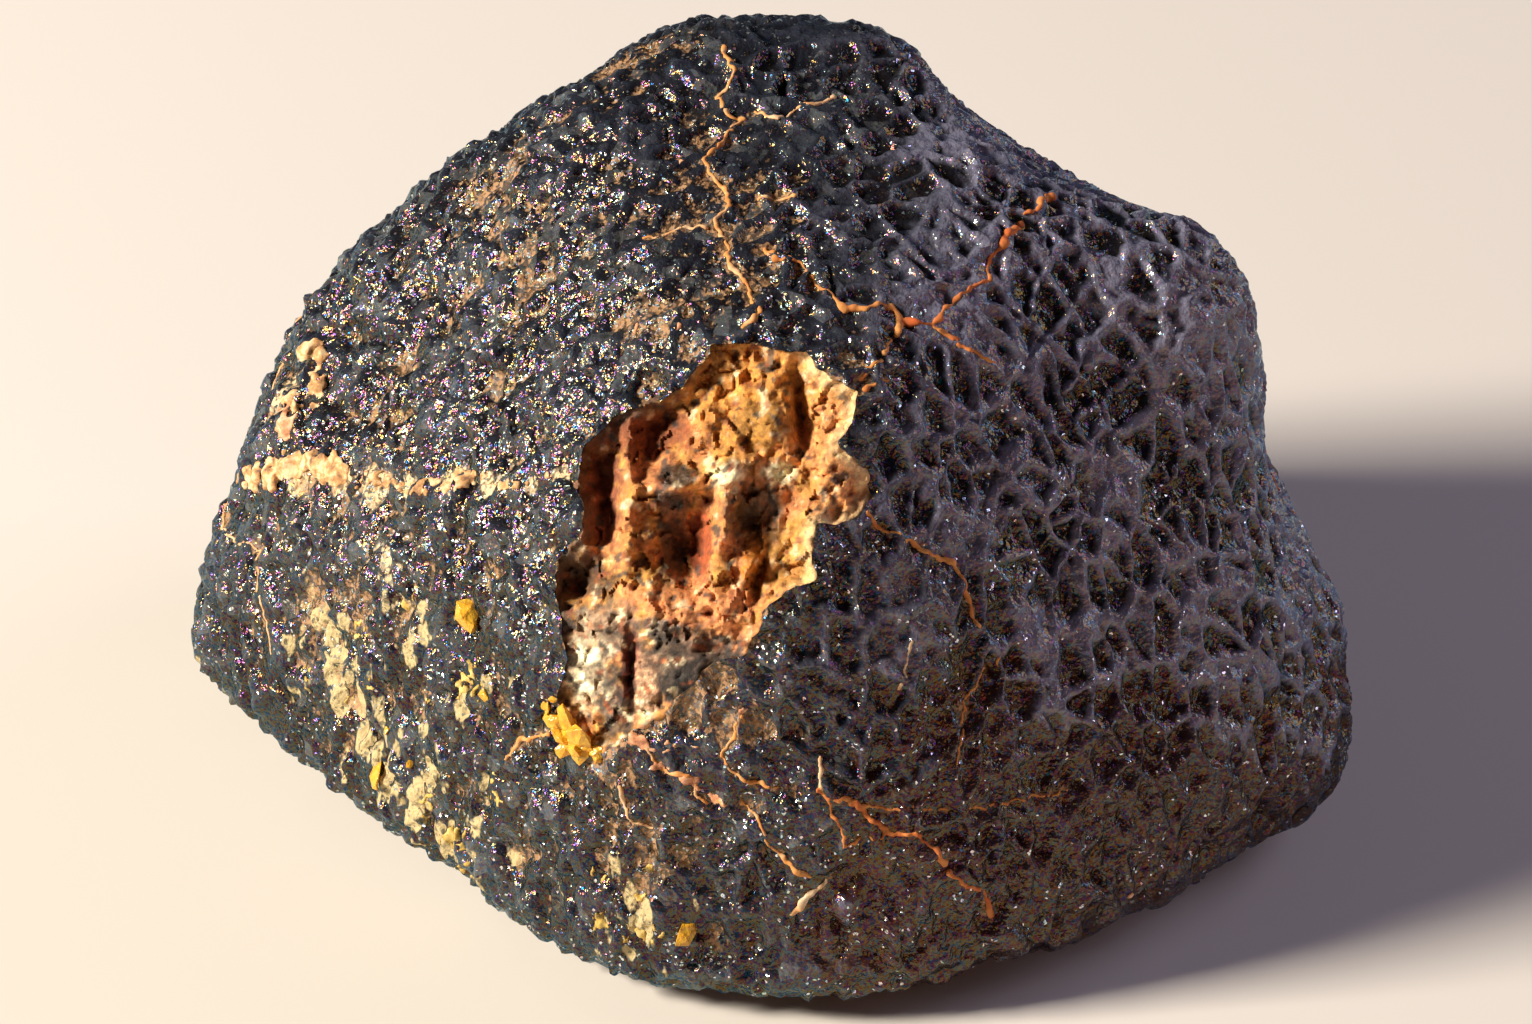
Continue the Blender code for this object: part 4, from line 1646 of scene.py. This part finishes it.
ISLANDS = {
    "amber neighbour": Deposit(468, 681, 16, 20, 0, 0.13),
    "left strip": Deposit(308, 679, 5, 20, 0, 0.12),
    "strip two": Deposit(359, 633, 7, 18, 0, 0.12),
    "island one": Deposit(408, 606, 9, 14, 0, 0.12),
    "island two": Deposit(350, 703, 8, 12, 0, 0.11),
    "island three": Deposit(369, 686, 8, 12, 0, 0.11),
    "island four": Deposit(454, 839, 17, 14, 0, 0.14),
    "island five": Deposit(466, 870, 12, 12, 0, 0.13),
    "island six": Deposit(427, 805, 9, 18, 0, 0.12),
    "island seven": Deposit(497, 797, 10, 10, 0, 0.11),
    "island eight": Deposit(490, 778, 8, 8, 0, 0.11),
    "island nine": Deposit(425, 700, 8, 12, 0, 0.11),
    "low one": Deposit(596, 877, 12, 12, 0, 0.12),
    "low two": Deposit(649, 869, 8, 8, 0, 0.11),
    "low three": Deposit(642, 898, 9, 9, 0, 0.12),
    "low four": Deposit(600, 923, 9, 17, 0, 0.12),
    "low five": Deposit(642, 935, 22, 10, 0, 0.13),
}
CRACKS = {
    "trunk": Crack(((723, 50), (734, 68), (731, 80), (718, 98), (728, 116), (743, 121), (718, 146),
                    (704, 159), (718, 181), (726, 196), (728, 206), (716, 219), (718, 232),
                    (728, 249), (731, 265), (744, 277), (749, 295), (761, 312), (743, 327)),
                   2.5, 0.20),
    "upper twig": Crack(((756, 113), (776, 118), (799, 109), (812, 104), (839, 96)), 2.4, 0.12),
    "left twig": Crack(((643, 239), (666, 234), (686, 227), (709, 229)), 2.4, 0.10),
    "right twig": Crack(((759, 199), (779, 201), (792, 196)), 2.2, 0.12),
    "cross": Crack(((766, 252), (781, 259), (799, 264), (816, 284), (844, 310), (865, 308),
                    (892, 305), (900, 323), (900, 332), (884, 352), (872, 368), (860, 380)),
                   2.9, 0.28),
    "bright": Crack(((900, 323), (918, 323), (932, 323), (943, 313), (960, 294), (978, 285),
                     (990, 279), (988, 262), (1003, 245), (1013, 229), (1028, 211), (1054, 196)),
                    3.4, 0.45),
    "spur": Crack(((935, 327), (952, 338), (971, 348), (995, 362)), 2.7, 0.36),
    "chip corner": Crack(((861, 387), (886, 379)), 2.1, 0.35),
    "below the corner": Crack(((867, 513), (880, 528), (904, 537), (930, 553), (955, 565),
                               (965, 591), (980, 626)), 2.1, 0.30),
    "faint": Crack(((999, 660), (968, 695), (957, 764)), 1.4, 0.30),
    "lower": Crack(((819, 790), (854, 802), (873, 821), (888, 831), (915, 834), (934, 848),
                    (953, 878), (984, 894), (995, 917)), 2.8, 0.45),
    "lower loop": Crack(((823, 794), (840, 825), (846, 848), (888, 831)), 1.8, 0.35),
    "lower long": Crack(((823, 796), (877, 806), (1007, 802), (1068, 790)), 1.3, 0.35),
    "below the chip": Crack(((635, 666), (637, 696), (625, 713), (632, 733), (645, 749), (662, 769),
                             (688, 776), (698, 796), (725, 806)), 1.9, 0.16),
    "front": Crack(((742, 714), (735, 733), (723, 756), (732, 769), (748, 781), (765, 786),
                    (778, 787)), 2.1, 0.20),
    "front lower": Crack(((742, 799), (761, 826), (778, 852), (793, 869), (811, 877)), 2.4, 0.20),
    "left of it": Crack(((619, 789), (625, 812), (632, 822), (652, 829)), 2.0, 0.05),
    "beside the gold": Crack(((546, 733), (519, 739), (506, 759)), 2.2, 0.20),
    "back trunk": Crack(((78, 24), (82, 20), (79, 16), (86, 12), (91, 9), (88, 5)),
                        1.9, 0.12, True),
    "back branch": Crack(((79, 16), (70, 13), (61, 12), (52, 9)), 2.1, 0.40, True),
    "back left": Crack(((91, 9), (104, 8), (112, 11), (125, 9), (137, 11)), 1.7, 0.10, True),
    "right side": Crack(((12, 17), (6, 13), (9, 9), (0, 6)), 1.8, 0.40, True),
    "left side": Crack(((188, 6), (181, 9), (172, 8), (163, 12), (158, 15)), 1.9, 0.10, True),
    "white nick": Crack(((791, 915), (808, 895), (828, 879)), 2.8, 0.0),
    "white streak": Crack(((821, 756), (818, 789)), 2.2, 0.0),
    "white hairline": Crack(((912, 640), (900, 690)), 1.8, 0.0),
}
GOLD_VEIN = ((546, 702), (606, 757), 26, 19)
SHARDS = {
    "amber drop": Shard(472, 617, 60, 40, 5),
    "amber low": Shard(379, 776, 36, 30, 0),
    "amber foot": Shard(687, 933, 34, 34, 60),
    "amber side": Shard(484, 694, 22, 20, 0),
    "orange dot": Shard(410, 764, 12, 10, 0),
    "orange dot two": Shard(388, 730, 12, 10, 0),
}
STAINS = {
    "dust": (Stain(700, 180, 3.5, 0.26), Stain(760, 240, 2.2, 0.28), Stain(640, 330, 1.6, 0.38),
             Stain(500, 240, 4.0, 0.22), Stain(560, 430, 1.6, 0.22), Stain(700, 345, 1.2, 0.42),
             Stain(845, 370, 1.0, 0.42), Stain(700, 690, 2.0, 0.36), Stain(600, 760, 1.6, 0.32),
             Stain(740, 720, 2.0, 0.30), Stain(350, 520, 3.0, 0.24), Stain(320, 620, 3.0, 0.22),
             Stain(620, 60, 2.0, 0.42), Stain(560, 115, 1.6, 0.34), Stain(700, 850, 3.0, 0.20),
             Stain(95, 15, 5.0, 0.30, True), Stain(140, 6, 5.0, 0.32, True),
             Stain(60, 5, 4.0, 0.28, True), Stain(10, 4, 4.0, 0.25, True)),
    "cream": (Stain(300, 474, 0.9, 0.85), Stain(340, 478, 0.8, 0.8), Stain(375, 484, 0.8, 0.8),
              Stain(410, 486, 0.7, 0.8), Stain(450, 484, 0.8, 0.75), Stain(490, 484, 0.7, 0.75),
              Stain(530, 482, 0.6, 0.7), Stain(560, 474, 0.5, 0.7), Stain(390, 560, 0.9, 0.36),
              Stain(310, 370, 0.9, 0.5), Stain(600, 680, 1.4, 0.45),
              Stain(400, 600, 1.4, 0.34), Stain(360, 530, 1.6, 0.36), Stain(740, 660, 1.0, 0.40),
              Stain(700, 700, 1.2, 0.42), Stain(280, 400, 1.2, 0.42), Stain(620, 60, 1.0, 0.40),
              Stain(120, 10, 1.6, 0.45, True), Stain(128, 12, 1.3, 0.45, True),
              Stain(75, 4, 1.5, 0.42, True), Stain(165, 5, 1.8, 0.44, True)),
    "yellow": (Stain(320, 640, 3.0, 0.68), Stain(430, 640, 2.4, 0.58), Stain(390, 750, 3.2, 0.72),
               Stain(460, 840, 2.8, 0.80), Stain(620, 915, 2.6, 0.70), Stain(490, 720, 2.0, 0.45),
               Stain(150, 3, 3.2, 0.55, True), Stain(172, 3, 2.6, 0.5, True),
               Stain(100, 3, 2.4, 0.42, True)),
    # Rust with painted warm bounce light, low on the shaded right.
    "stain": (Stain(1000, 760, 7.0, 0.5), Stain(1120, 860, 5.0, 0.4)),
}


def main() -> None:
    """Build the meteorite, dress it and light it."""
    logging.basicConfig(level=logging.INFO, format="%(name)s: %(message)s")
    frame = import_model()
    view = View()
    view.add_camera()
    outline = ChipOutline()
    relief = CrustRelief()

    crust = FusionCrust(outline, view, relief)
    thing = crust.build(frame["nodes"][STONE])
    skin = Skin(thing, view)
    matrix = ChipMatrix(outline, view, crust.sheet).build()

    LimeCrust("lime_seam", Tint.CREAM, SEAM, skin, 3).build()
    LimeCrust("lime_peach", Tint.PEACH, SEAM_PEACH, skin, 4).build()
    LimeCrust("lime_islands", Tint.YELLOW, ISLANDS, skin, 5).build()
    veins = OxideVeins(skin, CRACKS)
    veins.build()
    lines = [grain[0] for grain in veins.grains] + crust.rim()
    CrustStains(skin, STAINS, lines).apply(thing)
    GoldenCrystals(skin, SHARDS, GOLD_VEIN).build()
    finished(matrix, "broken_face", BrokenMatrixFinish().build())
    finished(thing, "crust", FusionCrustFinish(relief).build())
    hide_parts(STONE)
    Studio().build()


if __name__ == "__main__":
    main()
